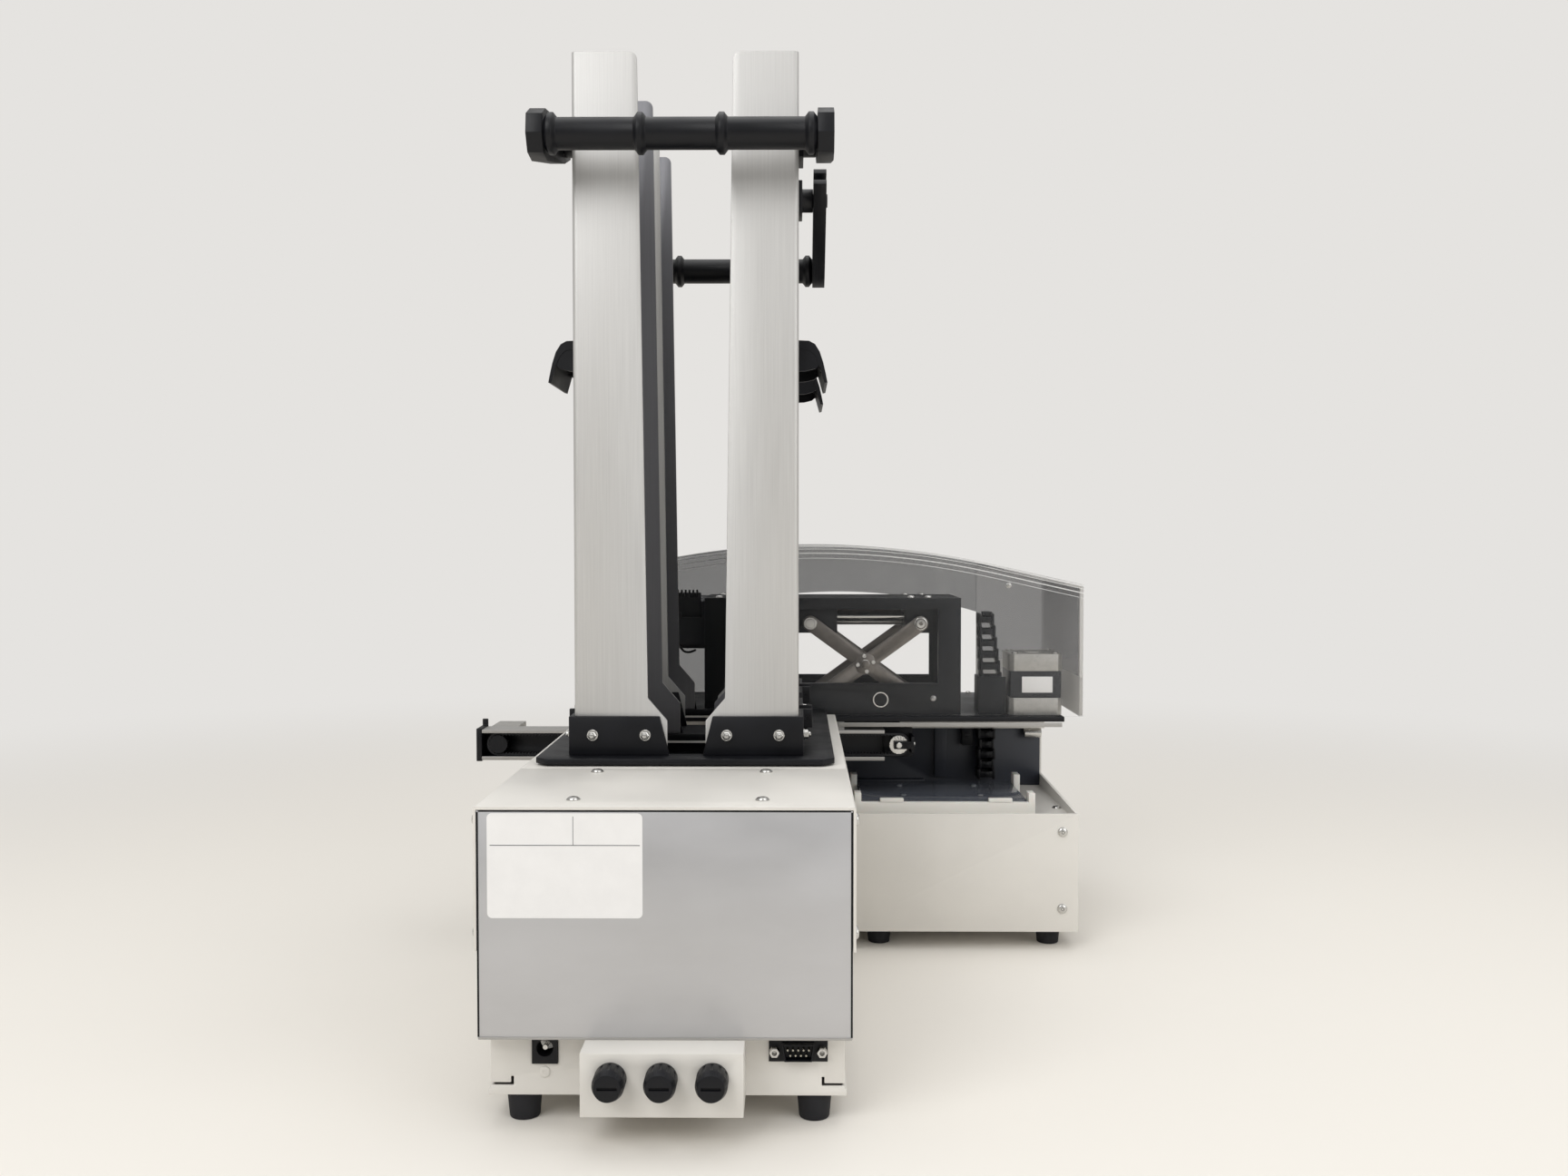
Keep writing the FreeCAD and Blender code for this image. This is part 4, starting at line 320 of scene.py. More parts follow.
class StackerSizes(bpy.types.PropertyGroup):
    """The sizes of roundings and fasteners"""
    sheet_edge: FloatProperty(name="Sheet edge", description="Rounding of the sheet metal",
                              subtype="DISTANCE", unit="LENGTH", default=0.0004)
    plate_edge: FloatProperty(name="Plate edge", description="Rounding of plates and mouldings",
                              subtype="DISTANCE", unit="LENGTH", default=0.0005)
    nut_width: FloatProperty(name="Nut width", description="Corners of the magazines' nuts",
                             subtype="DISTANCE", unit="LENGTH", default=0.0056)
    screw_width: FloatProperty(name="Screw width", description="Head of the cover screws",
                               subtype="DISTANCE", unit="LENGTH", default=0.0068)


FINISHES = {}


def mix_finishes():
    """Every finish of the part, by the name of what it is, with the painted shade and highlight
    among them.
    """
    tints = bpy.context.scene.stacker_colours
    FINISHES.update({
        "powder": powder_coated_steel("powder_coated_steel", tints.powder),
        "panel": satin_anodised_aluminium("satin_anodised_aluminium", tints.panel),
        "channel": brushed_aluminium("brushed_aluminium_upright", tints.channel, UPRIGHT),
        # The channels' inner faces: brushed aluminium darkened as painted shade, for the shade that
        # falls inside the magazines.
        "painted_shade_inside": brushed_aluminium("brushed_aluminium_painted_shade", linear("#86868A"), UPRIGHT),
        "rail": brushed_aluminium("brushed_aluminium_level", linear("#A9A7A4"), LEVEL),
        "plastic": moulded_abs("moulded_black_abs", tints.plastic),
        "anodised": black_anodised_aluminium("black_anodised_aluminium", tints.anodised),
        "steel": tumbled_steel("tumbled_stainless_steel", tints.steel),
        "zinc": zinc_plated_steel("zinc_plated_steel", tints.zinc),
        "rubber": moulded_rubber("moulded_rubber", tints.rubber),
        "belt": ribbed_rubber("neoprene_belt", tints.rubber),
        "board": solder_mask("green_solder_mask", linear("#1F5C38")),
        "acetal": moulded_acetal("moulded_white_acetal", linear("#E4E2DC")),
        "bay": powder_coated_steel("dark_bay_paint", tints.bay),
        "smoked": see_through_sheet("smoked_polycarbonate", linear("#565A63"), 0.62, 0.95, 0.08),
        "clear": see_through_sheet("clear_formed_petg", linear("#EEF0F2"), 0.016, 0.4, 0.28),
        # Pale, nearly opaque film for the strips along the clear cover's arch: a painted highlight.
        "rim": see_through_sheet("painted_highlight_rim", linear("#FBFBFA"), 0.62, 0.9, 0.2),
        "frosted": see_through_sheet("frosted_acrylic", linear("#E3E1DD"), 0.62, 0.92, 0.4),
        "haze": see_through_sheet("lightly_smoked_acrylic", linear("#949396"), 0.54, 0.85, 0.2),
        "smoke": see_through_sheet("smoke_tinted_acrylic", tints.smoke, 0.53, 0.9, 0.1),
        "label": label_paper("white_label_stock", linear("#E8E7E6")),
        "ink": moulded_abs("grey_printing_ink", linear("#5A5A5C")),
        "cast": cast_aluminium("cast_aluminium", linear("#B4B2AE")),
        "stack": laminated_stack("lacquered_laminations", linear("#1E1F24")),
        "maroon": black_anodised_aluminium("maroon_anodised_aluminium", linear("#4A3A38")),
        "contact": zinc_plated_steel("plated_contact", linear("#A8A59A")),
    })


def settle(piece, body, replaced=()):
    """Let a finished piece ride on its body, and hide the CAD nodes that it stands for."""
    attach(piece, body)
    if replaced:
        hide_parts(*replaced)


def stand(name, data):
    """A new object in the scene, at the origin."""
    made = bpy.data.objects.new(name, data)
    bpy.context.scene.collection.objects.link(made)
    return made


def fit(bm, name, finishes, body="housing", replaced=()):
    """A finished bmesh as a piece on its body, smooth except across its sharp edges."""
    limit = math.radians(32.0)
    for face in bm.faces:
        face.smooth = True
    for edge in bm.edges:
        edge.smooth = len(edge.link_faces) == 2 and edge.calc_face_angle(0.0) < limit
    mesh = bpy.data.meshes.new(name)
    bm.to_mesh(mesh)
    bm.free()
    for kind in finishes:
        mesh.materials.append(FINISHES[kind])
    settle(stand(name, mesh), body, replaced)


def round_edges(bm, edges, width, segments=2):
    """Bevel edges by a width in metres."""
    bmesh.ops.bevel(bm, geom=edges, offset=width, offset_type="OFFSET", segments=segments,
                    profile=0.5, affect="EDGES", clamp_overlap=True, material=-1)


def round_sharp(bm, width, edges=None):
    """Round the edges of more than 35 degrees that are longer than the rounding."""
    limit = math.radians(35.0)
    chosen = bm.edges if edges is None else edges
    round_edges(bm, [e for e in chosen if len(e.link_faces) == 2
                     and e.calc_face_angle(0.0) > limit and e.calc_length() > width], width)


def along(edge, axis):
    """Whether an edge runs along an axis: 0, 1 or 2 for x, y or z."""
    first, last = edge.verts
    return abs((first.co - last.co).normalized()[axis]) > 0.9


def merged(node):
    """A bmesh of a CAD node, its loose triangles joined and its flat faces whole."""
    bm = bmesh.new()
    bm.from_mesh(frame["nodes"][node].data)
    bmesh.ops.remove_doubles(bm, verts=bm.verts, dist=2e-6)
    bmesh.ops.dissolve_limit(bm, angle_limit=math.radians(0.6), verts=bm.verts, edges=bm.edges)
    return bm


def dress(node, finishes, width, rules=()):
    """A copy of a CAD node with rounded edges. A rule gives the faces whose centres lie in a
    box of the drawing another of the finishes, by its number."""
    bm = merged(node)
    bmesh.ops.dissolve_degenerate(bm, dist=1e-6, edges=bm.edges)
    for face in bm.faces:
        face.material_index = 0
    for number, low, high in rules:
        first, last = at(*low), at(*high)
        for face in bm.faces:
            middle = face.calc_center_median()
            if all(first[i] <= middle[i] <= last[i] for i in range(3)):
                face.material_index = number
    if width:
        round_sharp(bm, width)
    fit(bm, node + "_dressed", finishes, frame["nodes"][node]["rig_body"], [node])


def block(bm, low, high, width=0.0, kind=0):
    """A rectangular solid of the drawing, its edges rounded by a width in millimetres."""
    first, last = at(*low), at(*high)
    place = Matrix.Translation((first + last) / 2) @ Matrix.Diagonal((*(last - first), 1.0))
    made = bmesh.ops.create_cube(bm, size=1.0, matrix=place)
    edges = {edge for vert in made["verts"] for edge in vert.link_edges}
    for face in {face for vert in made["verts"] for face in vert.link_faces}:
        face.material_index = kind
    if width:
        round_sharp(bm, width * MM, edges)


FACING = {
    "-Y": Matrix.Rotation(math.radians(90), 4, "X"),
    "+Y": Matrix.Rotation(math.radians(-90), 4, "X"),
    "+X": Matrix.Rotation(math.radians(90), 4, "Y"),
    "-X": Matrix.Rotation(math.radians(-90), 4, "Y"),
    "+Z": Matrix.Identity(4),
}


def turned(bm, base, facing, rings, sides=24, kind=0):
    """A turned solid: (radius, height) rings in millimetres along a direction, spun into a closed
    shell. A ring lower than the one before it makes a socket."""
    place = Matrix.Translation(at(*base)) @ FACING[facing]
    before = set(bm.verts)
    profile = [(0.0, rings[0][1]), *rings, (0.0, rings[-1][1])]
    verts = [bm.verts.new(place @ Vector((radius * MM, 0.0, height * MM)))
             for radius, height in profile]
    edges = [bm.edges.new(pair) for pair in zip(verts, verts[1:])]
    bmesh.ops.spin(bm, geom=verts + edges, cent=at(*base), angle=math.tau, steps=sides,
                   axis=place.to_3x3() @ Vector((0.0, 0.0, 1.0)), use_merge=True)
    made = [vert for vert in bm.verts if vert not in before]
    bmesh.ops.remove_doubles(bm, verts=made, dist=1e-7)
    faces = list({face for vert in bm.verts if vert not in before for face in vert.link_faces})
    for face in faces:
        face.material_index = kind
    bmesh.ops.recalc_face_normals(bm, faces=faces)


def prism(bm, outline, wall, side, ends):
    """A closed solid with an outline of (reach, height) points out from a wall, along y."""
    rings = [[bm.verts.new(at(wall + side * reach, end, height)) for reach, height in outline]
             for end in ends]
    count = len(outline)
    faces = [bm.faces.new(rings[0]), bm.faces.new(rings[1][::-1])]
    for k in range(count):
        after = (k + 1) % count
        faces.append(bm.faces.new((rings[0][k], rings[1][k], rings[1][after], rings[0][after])))
    bmesh.ops.recalc_face_normals(bm, faces=faces)


def painted_highlight_strip(bm, crest, drop, wide):
    """Slim pale bead below a crest line: a painted highlight where a formed sheet's shoulder
    catches the light.
    """
    proud, sunk = 0.15 * MM, 0.1 * MM
    rows = [[bm.verts.new(spot) for spot in (
        (x, y - proud, z - drop), (x, y - proud, z - drop - wide),
        (x, y + sunk, z - drop - wide), (x, y + sunk, z - drop))] for x, y, z in crest]
    faces = [bm.faces.new((one[k], one[(k + 1) % 4], two[(k + 1) % 4], two[k]))
             for one, two in zip(rows, rows[1:]) for k in range(4)]
    faces += [bm.faces.new(rows[0][::-1]), bm.faces.new(rows[-1])]
    bmesh.ops.recalc_face_normals(bm, faces=faces)
    for face in faces:
        face.material_index = 1


def nut_and_stud(bm, base, facing):
    """Washer, hex nut and the rounded end of its stud."""
    half = bpy.context.scene.stacker_sizes.nut_width / MM / 2
    turned(bm, base, facing, [(half + 0.7, 0.0), (half + 0.7, 0.6), (half + 0.5, 0.8)])
    turned(bm, base, facing, [(half, 0.8), (half, 2.9), (half - 0.7, 3.4)], 6)
    turned(bm, base, facing, [(1.7, 3.4), (1.7, 4.3), (1.3, 4.8), (0.6, 5.0)], 16)


def button_screw(bm, base, facing, size=None):
    """Low domed head with a hex socket, on its washer."""
    half = (size or bpy.context.scene.stacker_sizes.screw_width) / MM / 2
    turned(bm, base, facing, [(half + 0.4, 0.0), (half + 0.4, 0.4), (half + 0.2, 0.5)])
    turned(bm, base, facing,
           [(half, 0.5), (half * 0.93, 1.1), (half * 0.7, 1.6), (half * 0.42, 1.75)])
    turned(bm, base, facing,
           [(half * 0.4, 1.5), (half * 0.4, 1.78), (half * 0.3, 1.78), (half * 0.3, 0.9)], 6,
           kind=1)


# The CAD nodes that keep one finish: node, finish, slot and the edge that is rounded.
HOUSING = (
    ("base_pan", "powder", "white_paint", "sheet"),
    ("rear_lid", "powder", "white_paint", "sheet"),
    ("main_cover", "powder", "white_paint", "sheet"),
    ("rear_panel", "panel", "satin_aluminium", "sheet"),
    ("fuse_box", "powder", "white_paint", "sheet"),
    ("fuse_holders", "plastic", "black_plastic", "sheet"),
    ("fuse_cap_1", "plastic", "black_plastic", "plate"),
    ("fuse_cap_2", "plastic", "black_plastic", "plate"),
    ("fuse_cap_3", "plastic", "black_plastic", "plate"),
    ("lifter_guides", "panel", "satin_aluminium", "plate"),
    ("near_cam", "acetal", "white_plastic", "sheet"),
    ("far_cam", "acetal", "white_plastic", "sheet"),
    ("near_lifter", "panel", "satin_aluminium", "sheet"),
    ("far_lifter", "panel", "satin_aluminium", "sheet"),
)
MAGAZINES = (
    ("magazine_base_plate", "anodised", "black_metal", "plate"),
    ("near_foot_brackets", "anodised", "black_metal", "plate"),
    ("far_foot_brackets", "anodised", "black_metal", "plate"),
    ("near_left_latch", "plastic", "black_plastic", "sheet"),
    ("near_right_latch", "plastic", "black_plastic", "sheet"),
    ("far_left_latch", "plastic", "black_plastic", "sheet"),
    ("far_right_latch", "plastic", "black_plastic", "sheet"),
    ("near_bail", "plastic", "black_plastic", "plate"),
    ("far_bail", "plastic", "black_plastic", "plate"),
)
TRACK = (
    ("track_end_cap", "plastic", "black_plastic", "plate"),
    ("idler_bracket", "anodised", "black_metal", "plate"),
    ("drive_pulley", "anodised", "satin_aluminium", "sheet"),
    ("idler_pulley", "zinc", "satin_aluminium", "sheet"),
    ("plate_carriage", "anodised", "black_metal", "sheet"),
)
STATION = (
    ("station_base", "powder", "white_paint", "sheet"),
    ("bay_wall", "bay", "navy_paint", "sheet"),
    ("plate_nest", "smoked", "smoked_plastic", "sheet"),
    ("nest_guides", "acetal", "white_plastic", "sheet"),
    ("station_deck", "anodised", "black_metal", "plate"),
)
LIFT = (
    ("guide_rods", "zinc", "plated_steel", ""),
    ("sliding_block", "anodised", "black_metal", "plate"),
    ("driven_arms", "steel", "grey_steel", "sheet"),
    ("crossing_arms", "steel", "grey_steel", "sheet"),
    ("lift_platform", "anodised", "black_metal", "plate"),
)

# The cup handles' section: the curved shell, and the cheek that closes each of its ends.
CUP_SHELL = (
    (0.0, 432.5), (6.5, 432.2), (10.2, 430.2), (13.2, 425.4), (15.4, 418.6), (16.9, 412.0),
    (18.0, 406.4), (16.2, 406.0), (14.7, 411.2), (12.9, 417.6), (10.6, 423.0), (7.6, 426.0),
    (3.6, 427.0), (0.0, 427.0),
)
CUP_CHEEK = (
    (0.0, 430.0), (8.6, 429.0), (12.4, 424.0), (14.2, 418.0), (10.4, 415.0), (4.6, 413.6),
    (0.0, 413.4),
)
MOTOR_WIRES = (
    ("motor_wire_red", ((-27, 403, 250), (-31, 399, 243), (-33, 399, 232), (-29, 402, 224),
                        (-24, 408, 222), (-20, 412.5, 221))),
    ("motor_wire_black", ((-24, 403, 250), (-27, 398.5, 241), (-28, 398, 230), (-24, 401, 219),
                          (-18, 407, 217), (-14, 412.5, 219))),
)


def dress_all(table):
    """Dress each CAD node of a table in its finish, with the edge rounding of its kind."""
    sizes = bpy.context.scene.stacker_sizes
    widths = {"sheet": sizes.sheet_edge, "plate": sizes.plate_edge, "": 0.0}
    for node, kind, slot, edge in table:
        dress(node, [kind], widths[edge])


class STACKER_OT_housing(bpy.types.Operator):
    """Give the housing, its covers and the lifters their finishes"""
    bl_idname = "stacker.housing"
    bl_label = "Housing"

    def execute(self, context):
        dress_all(HOUSING)
        dress("rubber_feet", ["rubber"], 0.8 * MM)
        dress("controller_board", ["board", "plastic"], 0.2 * MM,
              rules=[(1, (-81, 23, 25.7), (61, 111, 47))])
        bodies, spindles = (1, (-40, 206, 30), (40, 312, 110)), (2, (-14, 206, 60), (14, 312, 104))
        near_end = (3, (-23, 202, 18), (23, 206.6, 105))
        far_end = (3, (-23, 311.5, 18), (23, 316, 105))
        dress("drive_motors", ["cast", "cast", "zinc", "anodised"], 0.4 * MM,
              rules=[bodies, spindles, near_end, far_end])
        return {"FINISHED"}


class STACKER_OT_connectors(bpy.types.Operator):
    """Dress the nine-pin plug and the power inlet in their metal, plastic and contacts"""
    bl_idname = "stacker.connectors"
    bl_label = "Connectors"

    def execute(self, context):
        x, z = 68.9, 39.7  # the plug's middle
        contacts = [(1, (x - 6.4, 8.4, z + row - 0.7), (x + 6.4, 12.9, z + row + 0.7))
                    for row in (1.42, -1.42)]
        posts = [(2, (x + post - 3.4, 3.0, z - 3.4), (x + post + 3.4, 30.0, z + 3.4))
                 for post in (-12.5, 12.5)]
        dress("serial_connector", ["plastic", "contact", "zinc"], 0.1 * MM,
              rules=contacts + posts)
        dress("power_inlet", ["plastic", "zinc"], 0.3 * MM,
              rules=[(1, (-66.2, 13.5, 38.6), (-63.0, 26.5, 42.0))])
        return {"FINISHED"}


class STACKER_OT_cover_screws(bpy.types.Operator):
    """Make the button-headed screws of the covers, the station and its frames"""
    bl_idname = "stacker.cover_screws"
    bl_label = "Cover screws"

    def execute(self, context):
        lid_top, cover_side, frame_top = 170.6, 98.75, 262.0
        bm = bmesh.new()
        for column in (-50, 50):
            for row in (20, 108):
                button_screw(bm, (column, row, lid_top), "+Z")
        for height in (104, 163):
            button_screw(bm, (cover_side, 7, height), "+X")
            button_screw(bm, (-cover_side, 7, height), "-X")
        for height in (31, 89):
            button_screw(bm, (268, 325, height), "-Y")
        button_screw(bm, (273.5, 378, 97), "+Z")
        fit(bm, "cover_screw_heads", ["zinc", "anodised"],
            replaced=["cover_screws"])
        bm = bmesh.new()
        for across in (160.3, 174.1, 6.0, 24.0):
            for row in (404, 466):
                button_screw(bm, (across, row, frame_top), "+Z", 6.0 * MM)
        button_screw(bm, (235.5, 384.0, 272.4), "-Y", 3.4 * MM)
        for across in (-44, 60, 150, 225):
            button_screw(bm, (across, 552, DECK_TOP), "+Z", 5.0 * MM)
        fit(bm, "frame_screw_heads", ["zinc", "anodised"])
        return {"FINISHED"}


class STACKER_OT_rating_label(bpy.types.Operator):
    """Stick the blank label on the rear panel, and paint shadow lines in the gaps around the panel
    and a highlight along its bottom hem
    """
    bl_idname = "stacker.rating_label"
    bl_label = "Blank label"

    def execute(self, context):
        bm = bmesh.new()
        block(bm, (-91.5, -0.18, 113.0), (-11.3, 0.0, 167.4))
        round_edges(bm, [edge for edge in bm.edges if along(edge, 1)], 2.6 * MM, 6)
        block(bm, (-90.0, -0.22, 150.6), (-12.6, -0.1, 151.0), kind=1)
        block(bm, (-47.2, -0.22, 151.0), (-46.9, -0.1, 165.8), kind=1)
        fit(bm, "blank_label", ["label", "ink"])
        bm = bmesh.new()
        # Dark strips at the panel's sides and under the lid's edge are painted shadow in the gaps;
        # the pale strip is the panel's bottom hem with a painted highlight.
        for across in (-96.5, 96.5):
            block(bm, (across - 0.5, -0.08, 51.0), (across + 0.5, 0.4, 168.0))
        block(bm, (-96.0, -0.08, 168.1), (96.0, 0.4, 168.7))
        block(bm, (-96.6, -0.35, 49.6), (96.6, 0.2, 50.9), 0.15, kind=1)
        turned(bm, (-64.8, 14.0, 27.4), "-Y",
               [(2.9, 0.0), (2.9, 0.5), (2.4, 0.8), (1.2, 0.8), (1.2, 0.5)], kind=2)
        fit(bm, "panel_gap_shadows_and_hem", ["anodised", "rail", "powder"])
        return {"FINISHED"}


class STACKER_OT_magazines(bpy.types.Operator):
    """Give the magazines, their channels, brackets, handles and bails their finishes, with painted
    shade on the channels' inner faces
    """
    bl_idname = "stacker.magazines"
    bl_label = "Magazines"

    def execute(self, context):
        dress_all(MAGAZINES)
        sizes = context.scene.stacker_sizes
        bottom, top, inner, outer, reach = 175.4, 605.0, 11.8, 67.8, 46.5
        for word, centre in MAGAZINE_CENTRES:
            near, far = centre - reach, centre + reach
            for side, low, high in (("left", -outer, -inner), ("right", inner, outer)):
                # Faces inside each channel's span take the darker finish, which is painted shade.
                dress(f"{word}_{side}_channel", ["channel", "painted_shade_inside"],
                      sizes.sheet_edge, rules=[(1, (low, near, bottom), (high, far, top))])
        cup, wall, cup_top = 31.0, 69.3, 450.0
        for word, centre in MAGAZINE_CENTRES:
            node = word + "_handle_fittings"
            bm = merged(node)
            plain_cups = [vert for vert in bm.verts if vert.co.z < cup_top * MM]
            bmesh.ops.delete(bm, geom=plain_cups, context="VERTS")
            round_sharp(bm, sizes.plate_edge)
            for side in (-1, 1):
                low, high = centre - cup, centre + cup
                prism(bm, CUP_SHELL, wall * side, side, (low, high))
                prism(bm, CUP_CHEEK, wall * side, side, (low + 0.4, low + 2.8))
                prism(bm, CUP_CHEEK, wall * side, side, (high - 2.8, high - 0.4))
            fit(bm, node + "_dressed", ["plastic"], word + "_magazine", [node])
        return {"FINISHED"}


class STACKER_OT_bracket_nuts(bpy.types.Operator):
    """Make the nuts and studs that hold the channels in their foot brackets"""
    bl_idname = "stacker.bracket_nuts"
    bl_label = "Bracket nuts"

    def execute(self, context):
        front, front_level, side, side_level = 51.0, 187.8, 72.3, 186.0
        for word, centre in MAGAZINE_CENTRES:
            bm = bmesh.new()
            for across in (-57.6, -25.2, 25.0, 57.2):
                nut_and_stud(bm, (across, centre - front, front_level), "-Y")
                nut_and_stud(bm, (across, centre + front, front_level), "+Y")
            for row in (-32.0, 32.0):
                nut_and_stud(bm, (side, centre + row, side_level), "+X")
                nut_and_stud(bm, (-side, centre + row, side_level), "-X")
            fit(bm, word + "_bracket_nuts", ["zinc"], word + "_magazine")
        return {"FINISHED"}


class STACKER_OT_track(bpy.types.Operator):
    """Dress the plate track and make its toothed belt"""
    bl_idname = "stacker.track"
    bl_label = "Plate track"

    def execute(self, context):
        dress_all(TRACK)
        dress("track_rail", ["rail", "anodised"],
              context.scene.stacker_sizes.sheet_edge,
              rules=[(1, (-182.0, 384.0, 136.3), (138.0, 399.7, 155.7))])
        bm = merged("track_belt")
        first, pitch, count = -166.0, 2.58, 122
        for step in range(count):
            across = first + pitch * step
            for low in (138.3, 152.8):
                block(bm, (across, 385.3, low), (across + 1.2, 390.7, low + 0.9))
        fit(bm, "toothed_belt", ["belt"], replaced=["track_belt"])
        bm = bmesh.new()
        button_screw(bm, (161.2, 391.0, 146.0), "+X", 5.2 * MM)
        turned(bm, (149.2, 380.0, 146.0), "-Y", [(2.4, 0.0), (2.4, 0.9), (1.9, 1.3)], 20)
        block(bm, (-181.0, 379.2, 135.2), (137.7, 380.0, 137.0), 0.2, kind=2)
        fit(bm, "track_trim", ["zinc", "anodised", "rail"])
        return {"FINISHED"}


class STACKER_OT_station(bpy.types.Operator):
    """Give the plate station its finishes, its bay fittings and the nest's seats"""
    bl_idname = "stacker.station"
    bl_label = "Plate station"

    def execute(self, context):
        dress_all(STATION)
        bm = bmesh.new()
        turned(bm, (263.0, 475.0, 143.1), "+X", [(3.4, 0.0), (4.3, 0.8), (4.3, 14.2), (3.4, 15.0)])
        block(bm, (210.0, 470.0, 132.8), (219.0, 479.8, 147.6), 0.4, kind=1)
        block(bm, (212.0, 468.8, 140.0), (217.0, 470.0, 144.0), 0.2, kind=1)
        block(bm, (101.5, 381.2, 160.6), (278.0, 382.0, 164.0), 0.2, kind=2)
        fit(bm, "bay_fittings", ["zinc", "anodised", "rail"])
        nest_x, nest_y, nest_floor = 181.5, 386.0, 109.5
        bm = bmesh.new()
        for across in (-30.0, 30.0):
            for row in (-22.0, 20.0):
                turned(bm, (nest_x + across, nest_y + row, nest_floor), "+Z",
                       [(2.2, 0.0), (2.2, 0.35), (1.9, 0.5)], 20)
        for left in (132.0, 215.0):
            block(bm, (left, 342.0, 108.0), (left + 18.0, 346.8, 111.0), 0.5)
        fit(bm, "nest_seats", ["acetal"])
        return {"FINISHED"}


class STACKER_OT_feed_motor(bpy.types.Operator):
    """Make the upright stepper: cast end bells, the laminated stack, screws and a label"""
    bl_idname = "stacker.feed_motor"
    bl_label = "Feed motor"

    def execute(self, context):
        left, right, near, far = 237.9, 280.1, 392.2, 434.3
        stack_bottom, stack_top, top = 182.4, 203.8, 217.6
        bm = bmesh.new()
        for low, high in ((DECK_TOP, stack_bottom), (stack_top, top)):
            block(bm, (left, near, low), (right, far, high))
            bottom = at(0, 0, low - 0.1).z
            round_edges(bm, [e for e in bm.edges if along(e, 2) and e.verts[0].co.z > bottom],
                        3.6 * MM, 1)
        rims = [e for e in bm.edges if len(e.link_faces) == 2 and e.calc_face_angle(0.0) > 0.6]
        round_edges(bm, rims, 0.4 * MM)
        block(bm, (left + 0.8, near + 0.9, stack_bottom), (right - 0.8, far - 0.8, stack_top),
              0.5, kind=1)
        for across in (left + 5.0, right - 5.0):
            for row in (near + 5.0, far - 5.0):
                turned(bm, (across, row, top), "+Z",
                       [(2.6, 0.0), (2.6, 0.9), (2.2, 1.2), (1.3, 1.2), (1.3, 0.6)], 20, kind=2)
        turned(bm, (259.0, 413.2, top), "+Z", [(9.0, 0.0), (9.0, 0.7), (8.6, 1.0)], 32)
        block(bm, (248.0, near + 0.7, 186.6), (272.4, near + 0.95, 199.4), 0.1, kind=3)
        fit(bm, "feed_motor_dressed", ["cast", "stack", "zinc", "label"],
            replaced=["feed_motor"])
        return {"FINISHED"}


class STACKER_OT_lift_motor(bpy.types.Operator):
    """Make the level stepper of the lead screw, with its ribbed plug and two loops of wire"""
    bl_idname = "stacker.lift_motor"
    bl_label = "Lift motor"

    def execute(self, context):
        dress("lift_motor", ["anodised", "stack"], 0.6 * MM,
              rules=[(1, (-34.5, 400, 215), (-16.5, 470, 268))])
        bm = bmesh.new()
        block(bm, (-29.0, 402.0, 246.0), (-9.0, 409.4, 266.0), 0.6)
        for step in range(6):
            rib = -28.0 + 3.1 * step
            block(bm, (rib, 401.0, 262.0), (rib + 1.6, 403.0, 268.4), 0.3)
        fit(bm, "lift_motor_plug", ["plastic"])
        for name, points in MOTOR_WIRES:
            curve = bpy.data.curves.new(name, "CURVE")
            curve.dimensions = "3D"
            curve.bevel_depth = 0.9 * MM
            curve.bevel_resolution = 4
            line = curve.splines.new("NURBS")
            line.points.add(len(points) - 1)
            for spot, place in zip(line.points, points):
                spot.co = (*at(*place), 1.0)
            line.order_u = 3
            line.use_endpoint_u = True
            curve.materials.append(FINISHES["rubber"])
            settle(stand(name, curve), "housing")
        return {"FINISHED"}


class STACKER_OT_cable_chain(bpy.types.Operator):
    """Make the energy chain's hinged links, above the deck and down in the bay"""
    bl_idname = "stacker.cable_chain"
    bl_label = "Cable chain"

    def execute(self, context):
        bm = bmesh.new()
        x, y, deck = 217.0, 398.0, DECK_TOP
        block(bm, (x - 3.0, y, deck), (x + 19.0, y + 3.0, deck + 30.0), 0.5)
        block(bm, (x - 3.0, y + 3.0, deck), (x, y + 26.0, deck + 30.0), 0.5)
        block(bm, (x, y + 3.0, deck), (x + 19.0, y + 26.0, deck + 3.0), 0.5)
        block(bm, (x + 15.0, y + 3.0, deck), (x + 19.0, y + 24.0, deck + 26.0), 0.5)
        for step in range(6):
            low = deck + 24.0 + 9.4 * step
            left = x - 1.0 - 0.35 * step
            wide = 17.0 - 0.9 * step
            for side in (left, left + wide - 2.4):
                block(bm, (side, y + 2.0, low), (side + 2.4, y + 20.0, low + 9.8), 0.8)
                turned(bm, (side + 1.2, y + 11.0, low + 4.9), "+X",
                       [(3.2, -1.7), (3.6, -1.4), (3.6, 1.4), (3.2, 1.7)], 20)
            for row in (y + 2.6, y + 17.4):
                block(bm, (left + 2.0, row, low + 2.2),
                      (left + wide - 2.0, row + 2.0, low + 7.0), 0.6)
        block(bm, (x + 1.0, y + 6.0, deck + 78.0), (x + 9.0, y + 17.0, deck + 82.0), 0.8)
        fit(bm, "cable_chain_links", ["plastic"], replaced=["cable_chain"])
        bm = bmesh.new()
        x, y, shelf = 230.0, 464.0, 104.4
        for step in range(5):
            low = shelf + 8.6 * step
            half = 6.5 if step % 2 else 7.5
            for side in (x - half, x + half - 2.6):
                block(bm, (side, y + 0.4, low), (side + 2.6, y + 16.0, low + 8.8), 0.9)
            for row in (y, y + 13.5):
                block(bm, (x - half + 2.0, row + 0.6, low + 1.4),
                      (x + half - 2.0, row + 2.6, low + 7.0), 0.7)
            turned(bm, (x, y + 1.0, low + 4.4), "-Y", [(2.2, 0.0), (2.2, 0.6), (1.7, 0.9)], 16)
        fit(bm, "bay_chain_links", ["plastic"])
        return {"FINISHED"}


